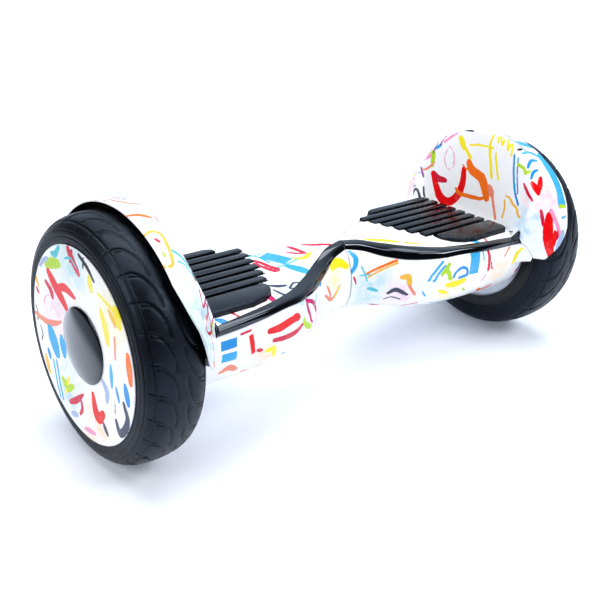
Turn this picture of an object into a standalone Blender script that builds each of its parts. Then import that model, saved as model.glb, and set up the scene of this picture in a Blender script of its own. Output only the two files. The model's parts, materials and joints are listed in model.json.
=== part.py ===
"""Self balancing hoverboard: two twisting halves, two hub-motor wheels, two sprung foot pads.

Metres, +Z up. X runs along the board, the front is -Y, the tyres stand on Z = 0 and the origin
is on the ground under the middle of the board. Most pieces come in a left (-X) and a right (+X)
copy, so their sizes are given as u, the distance from the middle plane between the two halves.
"""
import math

import bmesh
import bpy
import numpy as np
from mathutils import Matrix

# ---- driving dimensions ----
TYRE_RADIUS = 0.127
WHEEL_U = 0.2865                # middle plane of each wheel
TYRE_HALF_WIDTH = 0.0335
FENDER_RADIUS = 0.139
FENDER_HEIGHT = 0.1352          # the drum is a little flattened over the wheel
FENDER_EDGE_U = 0.281
SHELL = 0.003                   # thickness of the moulded shells
GAP = 0.0003                    # between pieces that touch
SEAM_U = 0.0012                 # half of the gap between the two halves
AXLE_Z = TYRE_RADIUS

# deck section along u: half depth, top, bottom, and how square the section is
DECK_U = (0.0, 0.020, 0.050, 0.085, 0.120, 0.160, 0.200, 0.250, 0.285)
DECK_HALF_DEPTH = (0.0355, 0.0380, 0.0500, 0.0700, 0.0835, 0.0890, 0.0900, 0.0900, 0.0900)
DECK_TOP = (0.1735, 0.1732, 0.1692, 0.1636, 0.1600, 0.1592, 0.1590, 0.1590, 0.1590)
DECK_BOTTOM = (0.0845, 0.0835, 0.0790, 0.0720, 0.0670, 0.0650, 0.0640, 0.0620, 0.0620)
TOP_POWER = (2.3, 2.3, 2.6, 3.3, 4.4, 5.2, 5.4, 5.4, 5.4)
BOTTOM_POWER = (2.2, 2.2, 2.2, 2.2, 2.1, 2.1, 2.1, 2.0, 2.0)
WAIST_Z = 0.124                 # level where the deck is deepest

# trim strip and shell joint, as angles round the section: 0 is the front, 90 the top
TRIM_U = (0.0, 0.020, 0.045, 0.070, 0.100, 0.130, 0.170, 0.205, 0.230)
TRIM_TOP = (76.0, 70.0, 61.5, 57.0, 55.0, 53.0, 47.5, 41.0, 35.0)
TRIM_LOW = (55.0, 47.0, 34.0, 27.0, 26.0, 27.5, 21.0, 16.5, 15.0)
REAR_TRIM_TOP = 24.0            # the rear strip runs straight, below the back of the pads
REAR_TRIM_LOW = 5.0
TRIM_END_U = 0.2275
TRIM_PROUD = 0.0009
TRIM_THICKNESS = 0.0022
TRIM_GAP = 1.6                  # degrees between the strip and each shell
FENDER_FOOT_ANGLE = -4.0
LOWER_END_U = 0.2400            # outboard end of the lower shell
JOINT_U = (0.2312, 0.2342, 0.2380, 0.2430, 0.2475, 0.2510, 0.2575, 0.2640, 0.2705, 0.2765, 0.281)
JOINT_ANGLE = (14.0, 8.5, 3.0, 0.5, 0.5, 3.0, 8.5, 16.5, 24.5, 32.0, 42.0)

# foot pad
PAD_OUTER_U = 0.2290
PAD_TOP = 0.1625
PAD_BASE_TOP = 0.1585
PAD_BOTTOM = 0.1491
RIB_PITCH = 0.016
RIB_WIDTH = 0.0105
RIB_FIRST_Y = -0.029
RIB_INNER_U = (0.1205, 0.1125, 0.1070, 0.1015, 0.0965, 0.0935)
NOTCH = 0.006                   # how far the mat steps back between two ribs
PLATE_TOP = PAD_BOTTOM - GAP
PLATE_BOTTOM = 0.1450
PLUNGER_BOTTOM = 0.1405

# running gear
AXLE_RADIUS = 0.009
BORE = AXLE_RADIUS + GAP
BEARING_OUTER = 0.0165
RIM_INNER = 0.0880
RIM_OUTER = 0.0955
FLANGE_RADIUS = 0.1000
COVER_RADIUS = 0.1005
CAP_RADIUS = 0.0375
CAP_HEIGHT = 0.0050
COVER_FACE = 0.0350             # outer face of the hub cover, from the wheel's middle plane

# pivot in the waist
TUBE_RADIUS = 0.0200
TUBE_INNER = 0.0160
LEFT_BORE = TUBE_RADIUS + GAP
RIGHT_BORE = 0.0245
BOSS_RADIUS = 0.0300
BOSS_END_U = 0.060
PIN_X = 0.030
PIN_RADIUS = 0.003
SLOT_HALF = 0.0092              # lets the right half twist 12 degrees each way

# rear controls, on the right half
SOCKET_U = 0.150
BUTTON_U = 0.190
CONTROL_Z = 0.108
SOCKET_RADIUS = 0.0095
BUTTON_RADIUS = 0.0072
FLAP_HINGE_Y = 0.0906

FRAME_PLATE_Z = 0.0860
FRAME_PLATE_TOP = 0.0910
LATHE_STEPS = 28


def clear_scene():
    for obj in list(bpy.data.objects):
        bpy.data.objects.remove(obj, do_unlink=True)


def make_collection(name):
    collection = bpy.data.collections.new(name)
    bpy.context.scene.collection.children.link(collection)
    return collection


clear_scene()
PARTS = make_collection("self_balancing_hoverboard")
CUTTERS = make_collection("cutters")


# ---- materials ----
def material(name, colour, roughness, metallic=0.0):
    mat = bpy.data.materials.new(name)
    mat.use_nodes = True
    shader = mat.node_tree.nodes["Principled BSDF"]
    shader.inputs["Base Color"].default_value = (*colour, 1.0)
    shader.inputs["Roughness"].default_value = roughness
    shader.inputs["Metallic"].default_value = metallic
    mat.diffuse_color = (*colour, 1.0)
    return mat


FINISHES = {
    "shell": ((0.93, 0.93, 0.94), 0.15, 0.0),
    "gloss_black": ((0.012, 0.012, 0.015), 0.08, 0.0),
    "rubber": ((0.020, 0.021, 0.025), 0.60, 0.0),
    "soft_rubber": ((0.05, 0.05, 0.05), 0.75, 0.0),
    "black_plastic": ((0.03, 0.03, 0.03), 0.45, 0.0),
    "cast_aluminium": ((0.66, 0.67, 0.69), 0.42, 1.0),
    "steel": ((0.56, 0.57, 0.58), 0.30, 1.0),
    "copper": ((0.72, 0.33, 0.16), 0.35, 1.0),
    "silver_paint": ((0.78, 0.79, 0.80), 0.30, 0.4),
    "circuit_board": ((0.02, 0.22, 0.09), 0.50, 0.0),
    "battery_wrap": ((0.04, 0.16, 0.55), 0.35, 0.0),
    "bronze": ((0.62, 0.44, 0.20), 0.35, 1.0),
}


def own_material(name, finish):
    colour, roughness, metallic = FINISHES[finish]
    return material(name + "_" + finish, colour, roughness, metallic)


# ---- object and mesh helpers ----
def add_mesh(name, mesh, finish, collection=None):
    obj = bpy.data.objects.new(name, mesh)
    (collection or PARTS).objects.link(obj)
    if finish:
        mesh.materials.append(own_material(name, finish))
    return obj


def mesh_from_bmesh(name, bm, smooth_angle=None):
    bm.normal_update()
    mesh = bpy.data.meshes.new(name)
    bm.to_mesh(mesh)
    bm.free()
    if smooth_angle:
        mesh.shade_smooth()
        mesh.set_sharp_from_angle(angle=math.radians(smooth_angle))
    return mesh


def box_bmesh(low, high):
    size = [b - a for a, b in zip(low, high)]
    centre = [(a + b) / 2 for a, b in zip(low, high)]
    bm = bmesh.new()
    bmesh.ops.create_cube(bm, size=1.0)
    bmesh.ops.scale(bm, vec=size, verts=bm.verts)
    bmesh.ops.translate(bm, vec=centre, verts=bm.verts)
    return bm


def side_box(side, low, high):
    """Corners of a box given as (u, y, z), on the left (-1) or the right (+1)."""
    ends = sorted((side * low[0], side * high[0]))
    return (ends[0], low[1], low[2]), (ends[1], high[1], high[2])


def box(name, low, high, finish, bevel=0.0, collection=None):
    obj = add_mesh(name, mesh_from_bmesh(name, box_bmesh(low, high)), finish, collection)
    if bevel:
        add_bevel(obj, bevel)
    return obj


def add_bevel(obj, width, segments=1):
    mod = obj.modifiers.new("bevel", "BEVEL")
    mod.width = width
    mod.segments = segments
    mod.limit_method = "ANGLE"
    mod.angle_limit = math.radians(40)


AXIS_ROTATION = {
    "X": Matrix.Rotation(math.radians(90), 4, "Y"),
    "Y": Matrix.Rotation(math.radians(90), 4, "X"),
    "Z": Matrix.Identity(4),
}


def cylinder_bmesh(axis, radius, start, end, centre, steps=24):
    """A cylinder along a world axis from start to end, centred on the other two coordinates."""
    bm = bmesh.new()
    bmesh.ops.create_cone(bm, cap_ends=True, segments=steps, radius1=radius, radius2=radius,
                          depth=end - start)
    bmesh.ops.transform(bm, matrix=AXIS_ROTATION[axis], verts=bm.verts)
    middle = (start + end) / 2
    a, b = centre
    place = {"X": (middle, a, b), "Y": (a, middle, b), "Z": (a, b, middle)}[axis]
    bmesh.ops.translate(bm, vec=place, verts=bm.verts)
    return bm


def cylinder(name, axis, radius, start, end, centre, finish, steps=24, collection=None):
    bm = cylinder_bmesh(axis, radius, start, end, centre, steps)
    return add_mesh(name, mesh_from_bmesh(name, bm, 35), finish, collection)


def as_cutter(obj):
    for collection in list(obj.users_collection):
        collection.objects.unlink(obj)
    CUTTERS.objects.link(obj)
    obj.hide_render = True
    obj.display_type = "WIRE"
    return obj


def boolean(obj, tool, operation):
    mod = obj.modifiers.new(operation.lower(), "BOOLEAN")
    mod.operation = operation
    mod.object = as_cutter(tool)
    mod.solver = "EXACT"


def cut(obj, *tools):
    for tool in tools:
        boolean(obj, tool, "DIFFERENCE")


def join(obj, *tools):
    for tool in tools:
        boolean(obj, tool, "UNION")


def prism(name, outline, low_z, high_z, finish, collection=None):
    """An upright prism from a flat outline of (x, y) points, made as a filled 2D curve."""
    curve = bpy.data.curves.new(name + "_outline", "CURVE")
    curve.dimensions = "2D"
    curve.fill_mode = "BOTH"
    curve.extrude = (high_z - low_z) / 2
    spline = curve.splines.new("POLY")
    spline.points.add(len(outline) - 1)
    for point, (x, y) in zip(spline.points, outline):
        point.co = (x, y, 0.0, 1.0)
    spline.use_cyclic_u = True
    holder = bpy.data.objects.new(name + "_holder", curve)
    CUTTERS.objects.link(holder)
    bpy.context.view_layer.update()
    depsgraph = bpy.context.evaluated_depsgraph_get()
    mesh = bpy.data.meshes.new_from_object(holder.evaluated_get(depsgraph))
    bpy.data.objects.remove(holder, do_unlink=True)
    bm = bmesh.new()
    bm.from_mesh(mesh)
    bmesh.ops.remove_doubles(bm, verts=bm.verts, dist=0.00001)
    bmesh.ops.recalc_face_normals(bm, faces=bm.faces)
    bmesh.ops.translate(bm, vec=(0, 0, (low_z + high_z) / 2), verts=bm.verts)
    bm.to_mesh(mesh)
    bm.free()
    return add_mesh(name, mesh, finish, collection)


def turned(name, profile, side, finish, steps=LATHE_STEPS, closed=True):
    """A turned piece on the axle line. The profile is (radius, u) and runs from the outboard
    end to the inboard end on its outer side, then back along its inner side."""
    bm = bmesh.new()
    verts = [bm.verts.new((radius, 0.0, u)) for radius, u in profile]
    for first, second in zip(verts, verts[1:]):
        bm.edges.new((first, second))
    if closed:
        bm.edges.new((verts[-1], verts[0]))
    mesh = bpy.data.meshes.new(name)
    bm.to_mesh(mesh)
    bm.free()
    obj = add_mesh(name, mesh, finish)
    obj.location = (0, 0, AXLE_Z)
    obj.rotation_euler = (0, side * math.radians(90), 0)
    screw = obj.modifiers.new("screw", "SCREW")
    screw.steps = steps
    screw.render_steps = steps
    screw.use_merge_vertices = True
    screw.merge_threshold = 0.00001
    screw.use_normal_calculate = False
    return obj


def ring_profile(inner, outer, low_u, high_u):
    return [(outer, high_u), (outer, low_u), (inner, low_u), (inner, high_u)]


# ---- the moulded surface ----
def curve_at(u, stations, values):
    """Smooth curve through the stations, with no overshoot between them."""
    x = np.asarray(stations, float)
    y = np.asarray(values, float)
    step = np.diff(x)
    slope = np.diff(y) / step
    tangent = np.zeros_like(y)
    tangent[0], tangent[-1] = slope[0], slope[-1]
    same_way = slope[:-1] * slope[1:] > 0
    weight_a = 2 * step[1:] + step[:-1]
    weight_b = step[1:] + 2 * step[:-1]
    inner = np.zeros(len(slope) - 1)
    safe_a = np.where(same_way, slope[:-1], 1.0)
    safe_b = np.where(same_way, slope[1:], 1.0)
    harmonic = (weight_a + weight_b) / (weight_a / safe_a + weight_b / safe_b)
    inner[same_way] = harmonic[same_way]
    tangent[1:-1] = inner
    u = np.clip(u, x[0], x[-1])
    i = np.clip(np.searchsorted(x, u, side="right") - 1, 0, len(step) - 1)
    t = (u - x[i]) / step[i]
    h00 = (1 + 2 * t) * (1 - t) ** 2
    h10 = t * (1 - t) ** 2
    h01 = t * t * (3 - 2 * t)
    h11 = t * t * (t - 1)
    return (h00 * y[i] + h10 * step[i] * tangent[i]
            + h01 * y[i + 1] + h11 * step[i] * tangent[i + 1])


def smooth_step(t):
    t = np.clip(t, 0.0, 1.0)
    return t * t * (3 - 2 * t)


def deck_section(u, angle):
    """(y, z) on the deck's rounded section, angle in radians from the front over the top."""
    c, s = np.cos(angle), np.sin(angle)
    power = np.where(s >= 0, curve_at(u, DECK_U, TOP_POWER), curve_at(u, DECK_U, BOTTOM_POWER))
    height = np.where(s >= 0, curve_at(u, DECK_U, DECK_TOP) - WAIST_Z,
                      WAIST_Z - curve_at(u, DECK_U, DECK_BOTTOM))
    y = -curve_at(u, DECK_U, DECK_HALF_DEPTH) * np.sign(c) * np.abs(c) ** (2 / power)
    z = WAIST_Z + height * np.sign(s) * np.abs(s) ** (2 / power)
    return y, z


def fender_share(u, angle):
    """0 on the deck, 1 on the fender's drum. A steep wall faces the rider's foot, and a cone
    flares from the deck's front and back edges to the drum; they meet in a soft ridge."""
    up = np.degrees(np.arcsin(np.clip(np.sin(angle), -1, 1)))
    wall_start = curve_at(up, (0.0, 25.0, 38.0, 50.0, 65.0, 90.0),
                          (0.2150, 0.2180, 0.2235, 0.2300, 0.2325, 0.2335))
    t = np.clip((u - wall_start) / 0.024, 0, 1)
    wall = 0.5 * smooth_step(t) + 0.5 * t
    ridge = np.maximum((up - 22.0) / 55.0, 0.08)
    flare = 1 - (1 - ridge) * np.clip((0.266 - u) / 0.0385, 0, None)
    soft = 0.035
    low = np.minimum(wall, flare)
    share = low - soft * np.log1p(np.exp(-np.abs(wall - flare) / soft)) + soft * math.log(2) * (
        np.clip(low, 0, 1) ** 0.5)
    share = np.clip(share, 0, 1)
    foot = smooth_step((up - FENDER_FOOT_ANGLE) / 5.0)
    return share * foot * (u > 0.21)


def shell_point(u, angle):
    """(y, z) on the outside of the moulding."""
    y, z = deck_section(u, angle)
    share = fender_share(u, angle)
    drum_y = -FENDER_RADIUS * np.cos(angle)
    height = np.where(np.sin(angle) > 0, FENDER_HEIGHT, FENDER_RADIUS)
    drum_z = AXLE_Z + height * np.sin(angle)
    return y + (drum_y - y) * share, z + (drum_z - z) * share


def surface_mesh(name, side, rows, smooth_angle=50):
    """Quads between rows of (u, y, z) points; the rows run outboard and hold the same count."""
    bm = bmesh.new()
    grid = [[bm.verts.new((side * u, y, z)) for u, y, z in row] for row in rows]
    for row, following in zip(grid, grid[1:]):
        for k in range(len(row) - 1):
            face = [row[k], row[k + 1], following[k + 1], following[k]]
            bm.faces.new(face[::-1] if side > 0 else face)
    return mesh_from_bmesh(name, bm, smooth_angle)


def solidify(obj, thickness, offset):
    mod = obj.modifiers.new("thickness", "SOLIDIFY")
    mod.thickness = thickness
    mod.offset = offset
    mod.use_rim = True


def trim_gap(u):
    """Degrees between the strip and a shell, wider where the surface starts to flare."""
    return TRIM_GAP + 2.0 * smooth_step((u - 0.185) / 0.03)


def joint_angle(u, place):
    """Edge of the upper shell: above the trim, then down to the fender's foot."""
    along_trim = curve_at(u, TRIM_U, TRIM_TOP) if place == "front" else REAR_TRIM_TOP
    if u <= TRIM_END_U:
        return along_trim + trim_gap(u)
    beyond = curve_at(u, JOINT_U, JOINT_ANGLE)
    return np.minimum(beyond, along_trim + TRIM_GAP) if u < JOINT_U[3] else beyond


def lower_joint_angle(u, place):
    """Edge of the lower shell: below the trim, then down beside the fender's foot."""
    along_trim = curve_at(u, TRIM_U, TRIM_LOW) if place == "front" else REAR_TRIM_LOW
    foot = smooth_step((u - TRIM_END_U) / (LOWER_END_U - TRIM_END_U))
    return along_trim * (1 - foot) + 2.0 * foot - trim_gap(u)


def arc_rows(stations, start_angle, end_angle, steps):
    """Rows of surface points; start_angle and end_angle give degrees for each u."""
    rows = []
    for u in stations:
        angles = np.radians(np.linspace(start_angle(u), end_angle(u), steps + 1))
        y, z = shell_point(np.full(angles.shape, u), angles)
        rows.append([(u, a, b) for a, b in zip(y, z)])
    return rows


UPPER_U = (SEAM_U, 0.020, 0.045, 0.070, 0.100, 0.130, 0.170, 0.205, 0.2175, 0.2235, 0.2275,
           0.2312, 0.2342, 0.2380, 0.2430, 0.2475, 0.2510, 0.2550, 0.2600, 0.2670, 0.2745, FENDER_EDGE_U)
LOWER_U = (SEAM_U, 0.020, 0.045, 0.070, 0.100, 0.130, 0.170, 0.205, 0.2175, 0.2235, 0.2275,
           0.2330, LOWER_END_U - 0.002)
TRIM_STATIONS = UPPER_U[:10] + (TRIM_END_U - 0.0027,)


def pad_outline(side, grow=0.0):
    """Plan of the foot pad, grown by a margin: a wide bar in front, six ribs with stepped
    inner ends, and a bar at the back."""
    points = [(PAD_OUTER_U + grow, -0.064), (PAD_OUTER_U - 0.005, -0.072 - grow),
              (0.168, -0.072 - grow), (0.150, -0.0685 - grow), (0.138 - grow / 2, -0.061 - grow),
              (0.1305 - grow, -0.050)]
    half = RIB_WIDTH / 2 + grow
    points.append((0.1305 - grow, RIB_FIRST_Y - RIB_PITCH + half))
    for k, inner in enumerate(RIB_INNER_U):
        y = RIB_FIRST_Y + RIB_PITCH * k
        before = 0.1305 if k == 0 else RIB_INNER_U[k - 1]
        step = before + NOTCH * 0.5 - grow
        points += [(step, y - RIB_PITCH + half), (step, y - half)] if k else [(step, y - half)]
        points += [(inner - grow, y - half), (inner - grow, y + half)]
    last = RIB_FIRST_Y + RIB_PITCH * 5
    points += [(0.120 - grow, last + half), (0.120 - grow, 0.0685),
               (0.132 - grow / 2, 0.073 + grow), (PAD_OUTER_U - 0.005, 0.073 + grow),
               (PAD_OUTER_U + grow, 0.065)]
    cleaned = [points[0]]
    for point in points[1:]:
        if math.dist(point, cleaned[-1]) > 0.0002:
            cleaned.append(point)
    return [(side * u, y) for u, y in cleaned]


# ---- shells and trim ----
def upper_shell(label, side):
    rows = arc_rows(UPPER_U, lambda u: joint_angle(u, "front"),
                    lambda u: 180 - joint_angle(u, "rear"), 18)
    obj = add_mesh(label + "_upper_shell", surface_mesh(label + "_upper_shell", side, rows), "shell")
    solidify(obj, SHELL, -1.0)
    window = prism(label + "_pad_window", pad_outline(side, 0.0012), 0.135, 0.175, None, CUTTERS)
    cut(obj, window)
    return obj


def lower_shell(label, side):
    rows = arc_rows(LOWER_U, lambda u: lower_joint_angle(u, "front"),
                    lambda u: -180 - lower_joint_angle(u, "rear"), 14)
    end = rows[-1]
    for u, share in ((LOWER_END_U, 0.03), (LOWER_END_U, 0.30), (LOWER_END_U, 0.62)):
        rows.append([(u, y * (1 - share), z + (AXLE_Z - z) * share) for _, y, z in end])
    rows = [row[::-1] for row in rows]
    obj = add_mesh(label + "_lower_shell", surface_mesh(label + "_lower_shell", side, rows), "shell")
    solidify(obj, SHELL, -1.0)
    return obj


def trim_strip(label, side, place):
    if place == "front":
        rows = arc_rows(TRIM_STATIONS, lambda u: curve_at(u, TRIM_U, TRIM_LOW),
                        lambda u: curve_at(u, TRIM_U, TRIM_TOP), 3)
    else:
        rows = arc_rows(TRIM_STATIONS, lambda u: 180 - REAR_TRIM_TOP,
                        lambda u: 180 - REAR_TRIM_LOW, 3)
    name = label + "_" + place + "_trim"
    obj = add_mesh(name, surface_mesh(name, side, rows), "gloss_black")
    solidify(obj, TRIM_THICKNESS, 2 * TRIM_PROUD / TRIM_THICKNESS - 1)
    return obj


def arch_liner(label, side):
    """D-shaped wall under the fender, between the electronics and the wheel."""
    low_u, high_u = 0.2415, 0.2440
    angles = np.radians(np.linspace(9, 171, 19))
    y, z = shell_point(np.full(angles.shape, low_u - 0.005), angles)
    z = np.maximum(z, AXLE_Z + 0.0025)
    outer = [(a * 0.955, AXLE_Z + (b - AXLE_Z) * 0.95) for a, b in zip(y, z)]
    inner_angles = np.radians(np.linspace(176, 4, 13))
    inner = [(-0.034 * math.cos(a), AXLE_Z + 0.034 * math.sin(a)) for a in inner_angles]
    loop = outer + inner
    bm = bmesh.new()
    near = [bm.verts.new((side * low_u, a, b)) for a, b in loop]
    face = bm.faces.new(near)
    extruded = bmesh.ops.extrude_face_region(bm, geom=[face])
    moved = [v for v in extruded["geom"] if isinstance(v, bmesh.types.BMVert)]
    bmesh.ops.translate(bm, vec=(side * (high_u - low_u), 0, 0), verts=moved)
    bmesh.ops.recalc_face_normals(bm, faces=bm.faces)
    name = label + "_arch_liner"
    return add_mesh(name, mesh_from_bmesh(name, bm), "black_plastic")


# ---- chassis ----
def frame(label, side):
    name = label + "_frame"
    obj = box(name, *side_box(side, (0.0985, -0.040, FRAME_PLATE_Z), (0.2360, 0.040, FRAME_PLATE_TOP)),
              "cast_aluminium")
    bridge = box(name + "_bridge", *side_box(side, (0.050, -0.017, 0.0865), (0.1010, 0.017, 0.1180)),
                 None)
    seat = box(name + "_seat", *side_box(side, (0.196, -0.026, 0.088), (0.2360, 0.026, 0.1268)), None)
    boss_ends = sorted((side * 0.004, side * BOSS_END_U))
    boss = cylinder(name + "_boss", "X", BOSS_RADIUS, *boss_ends, (0, AXLE_Z), None, 20)
    join(obj, bridge, seat, boss)
    bore_ends = sorted((0.0, side * 0.085))
    bore = cylinder(name + "_bore", "X", RIGHT_BORE if side > 0 else LEFT_BORE, *bore_ends,
                    (0, AXLE_Z), None, 20)
    groove_ends = sorted((side * 0.190, side * 0.245))
    groove = cylinder(name + "_groove", "X", BORE, *groove_ends, (0, AXLE_Z), None, 24)
    cut(obj, bore, groove)
    if side > 0:
        slot = box(name + "_stop_slot", (PIN_X - 0.004, -SLOT_HALF, AXLE_Z + 0.020),
                   (PIN_X + 0.004, SLOT_HALF, AXLE_Z + 0.034), None)
        cut(obj, slot)
    return obj


def axle_clamp(label, side):
    name = label + "_axle_clamp"
    obj = box(name, *side_box(side, (0.200, -0.024, AXLE_Z + 0.0002), (0.2350, 0.024, 0.1390)),
              "cast_aluminium")
    groove_ends = sorted((side * 0.190, side * 0.245))
    cut(obj, cylinder(name + "_groove", "X", BORE, *groove_ends, (0, AXLE_Z), None, 20))
    return obj


def pivot_parts():
    tube = turned("pivot_tube", ring_profile(TUBE_INNER, TUBE_RADIUS, -0.058, 0.0680), 1, "steel", 20)
    cut(tube, cylinder("pin_hole", "Z", PIN_RADIUS + GAP, AXLE_Z, AXLE_Z + 0.030, (PIN_X, 0), None))
    cylinder("stop_pin", "Z", PIN_RADIUS, AXLE_Z + 0.0125, AXLE_Z + 0.0285, (PIN_X, 0), "steel", 20)
    for name, low, high in (("inner_pivot_bush", 0.0050, 0.0200), ("outer_pivot_bush", 0.0420, 0.0580)):
        turned(name, ring_profile(TUBE_RADIUS + GAP, RIGHT_BORE - GAP, low, high), 1, "bronze", 20)
    turned("retaining_ring", ring_profile(TUBE_RADIUS + GAP, RIGHT_BORE - 0.0008, 0.0605, 0.0622), 1,
           "steel", 20)


def centre_harness():
    """Cable loom through the pivot tube, from the main board to the battery side."""
    curve = bpy.data.curves.new("centre_harness_path", "CURVE")
    curve.dimensions = "3D"
    curve.bevel_depth = 0.0045
    curve.bevel_resolution = 2
    curve.use_fill_caps = True
    spline = curve.splines.new("POLY")
    count = 13
    spline.points.add(count - 1)
    for k, point in enumerate(spline.points):
        x = -0.098 + 0.190 * k / (count - 1)
        rise = 0.008 * smooth_step((abs(x) - 0.062) / 0.03)
        point.co = (x, 0.0, AXLE_Z + rise, 1.0)
    holder = bpy.data.objects.new("harness_holder", curve)
    CUTTERS.objects.link(holder)
    bpy.context.view_layer.update()
    depsgraph = bpy.context.evaluated_depsgraph_get()
    mesh = bpy.data.meshes.new_from_object(holder.evaluated_get(depsgraph))
    bpy.data.objects.remove(holder, do_unlink=True)
    bm = bmesh.new()
    bm.from_mesh(mesh)
    bmesh.ops.remove_doubles(bm, verts=bm.verts, dist=0.00001)
    bmesh.ops.recalc_face_normals(bm, faces=bm.faces)
    bm.to_mesh(mesh)
    bm.free()
    return add_mesh("centre_harness", mesh, "black_plastic")


# ---- foot pads ----
def foot_pad(label, side):
    name = label + "_foot_pad"
    obj = prism(name, pad_outline(side), PAD_BOTTOM, PAD_BASE_TOP, "rubber")
    front = [(PAD_OUTER_U, -0.040), (PAD_OUTER_U, -0.064), (PAD_OUTER_U - 0.005, -0.072),
             (0.168, -0.072), (0.150, -0.0685), (0.138, -0.061), (0.1305, -0.050), (0.1305, -0.040)]
    back = [(PAD_OUTER_U, 0.0615), (PAD_OUTER_U, 0.065), (PAD_OUTER_U - 0.005, 0.073),
            (0.132, 0.073), (0.120, 0.0685), (0.120, 0.0615)]
    bars = [front, back]
    for k, inner in enumerate(RIB_INNER_U):
        y = RIB_FIRST_Y + RIB_PITCH * k
        half = RIB_WIDTH / 2
        bars.append([(PAD_OUTER_U, y - half), (PAD_OUTER_U, y + half), (inner, y + half),
                     (inner, y - half)])
    for k, bar in enumerate(bars):
        tool = prism("%s_bar_%d" % (name, k), [(side * u, y) for u, y in bar], PAD_BASE_TOP - 0.001,
                     PAD_TOP, None)
        join(obj, tool)
    return obj


def pedal_plate(label, side):
    """Stiff plate under the rubber, with two plungers over the foot switches."""
    name = label + "_pedal_plate"
    outline = [(0.140, -0.066), (0.2290, -0.066), (0.2290, 0.068), (0.126, 0.068), (0.103, 0.056),
               (0.130, -0.044)]
    obj = prism(name, [(side * u, y) for u, y in outline], PLATE_BOTTOM, PLATE_TOP, "black_plastic")
    for k, y in enumerate((-0.028, 0.028)):
        join(obj, cylinder("%s_plunger_%d" % (name, k), "Z", 0.005, PLUNGER_BOTTOM,
                           PLATE_BOTTOM + 0.002, (side * 0.150, y), None, 20))
    return obj


def pad_gasket(label, side):
    """Soft ring that the pedal plate presses on."""
    name = label + "_pad_gasket"
    outer = [(0.141, -0.067), (0.2310, -0.067), (0.2310, 0.069), (0.126, 0.069), (0.1025, 0.058),
             (0.1285, -0.046)]
    inner = [(0.145, -0.060), (0.2260, -0.060), (0.2260, 0.062), (0.131, 0.062), (0.1095, 0.053),
             (0.1345, -0.042)]
    obj = prism(name, [(side * u, y) for u, y in outer], 0.1400, 0.1432, "soft_rubber")
    cut(obj, prism(name + "_inside", [(side * u, y) for u, y in inner], 0.135, 0.150, None))
    return obj


# ---- wheels ----
def tyre_profile():
    """Crowned tread, sidewalls that narrow to the rim, and the air space inside."""
    bead_half, bead_radius, wall, tread = 0.0305, 0.0960, 0.006, 0.009
    half, crown_power, shoulder = TYRE_HALF_WIDTH, 2.65, 0.104
    outer = [(bead_radius, bead_half), (0.1000, 0.0325)]
    for angle in np.linspace(0, math.pi, 9):
        v = half * math.copysign(abs(math.cos(angle)) ** (2 / crown_power), math.cos(angle))
        r = shoulder + (TYRE_RADIUS - shoulder) * math.sin(angle) ** (2 / crown_power)
        outer.append((r, v))
    outer += [(0.1000, -0.0325), (bead_radius, -bead_half)]
    inner = [(bead_radius, -0.0215)]
    for angle in np.linspace(math.pi, 0, 5):
        v = (half - wall) * math.copysign(abs(math.cos(angle)) ** 0.8, math.cos(angle))
        r = 0.101 + (TYRE_RADIUS - tread - 0.101) * math.sin(angle) ** 0.8
        inner.append((r, v))
    inner.append((bead_radius, 0.0215))
    return [(r, WHEEL_U + v) for r, v in outer + inner]


def rim_profile():
    """Cup of the hub motor: well, two bead flanges, an outer web and its bearing boss."""
    w = WHEEL_U
    return [(0.0150, w + 0.0315), (0.0900, w + 0.0315), (FLANGE_RADIUS, w + 0.0333),
            (FLANGE_RADIUS, w + 0.0327), (RIM_OUTER, w + 0.0310), (RIM_OUTER, w - 0.0310),
            (FLANGE_RADIUS, w - 0.0327), (RIM_INNER, w - 0.0335), (RIM_INNER, w + 0.0240),
            (0.0230, w + 0.0240), (0.0220, w + 0.0195), (BEARING_OUTER + GAP, w + 0.0195),
            (BEARING_OUTER + GAP, w + 0.0285), (0.0150, w + 0.0285)]


def wheel(label, side):
    w = WHEEL_U
    turned(label + "_tyre", tyre_profile(), side, "rubber")
    turned(label + "_rim", rim_profile(), side, "silver_paint")
    cover = [(RIM_INNER - GAP, w - 0.0280), (RIM_INNER - GAP, w - 0.0350), (0.0840, w - 0.0350),
             (0.0830, w - 0.0320), (0.0230, w - 0.0320), (0.0140, w - 0.0345), (0.0100, w - 0.0345),
             (0.0100, w - 0.0320), (BEARING_OUTER + GAP, w - 0.0318), (BEARING_OUTER + GAP, w - 0.0225),
             (0.0220, w - 0.0225), (0.0220, w - 0.0280)]
    turned(label + "_motor_cover", cover, side, "silver_paint")
    turned(label + "_magnet_ring", ring_profile(0.0838, RIM_INNER - GAP, w - 0.0200, w + 0.0200), side,
           "steel")
    turned(label + "_outer_bearing",
           ring_profile(AXLE_RADIUS + GAP, BEARING_OUTER, w + 0.0200, w + 0.0282), side, "steel", 16)
    turned(label + "_inner_bearing",
           ring_profile(AXLE_RADIUS + GAP, BEARING_OUTER, w - 0.0312, w - 0.0228), side, "steel", 16)
    face = w + COVER_FACE
    cover_disc = [(CAP_RADIUS - 0.003, face), (COVER_RADIUS - 0.0012, face), (COVER_RADIUS, face - 0.0006),
                  (COVER_RADIUS, face - 0.0013), (CAP_RADIUS - 0.003, face - 0.0013)]
    turned(label + "_hub_cover", cover_disc, side, "shell", 36)
    base = face + GAP
    dome = [(0.0, base + CAP_HEIGHT)]
    for part in (0.25, 0.5, 0.72, 0.88, 0.97):
        dome.append((CAP_RADIUS * part, base + 0.0012 + (CAP_HEIGHT - 0.0012) * math.sqrt(1 - part ** 2)))
    dome += [(CAP_RADIUS, base + 0.0008), (CAP_RADIUS, base), (0.0, base)]
    turned(label + "_centre_cap", dome, side, "gloss_black", 24, closed=False)


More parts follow.
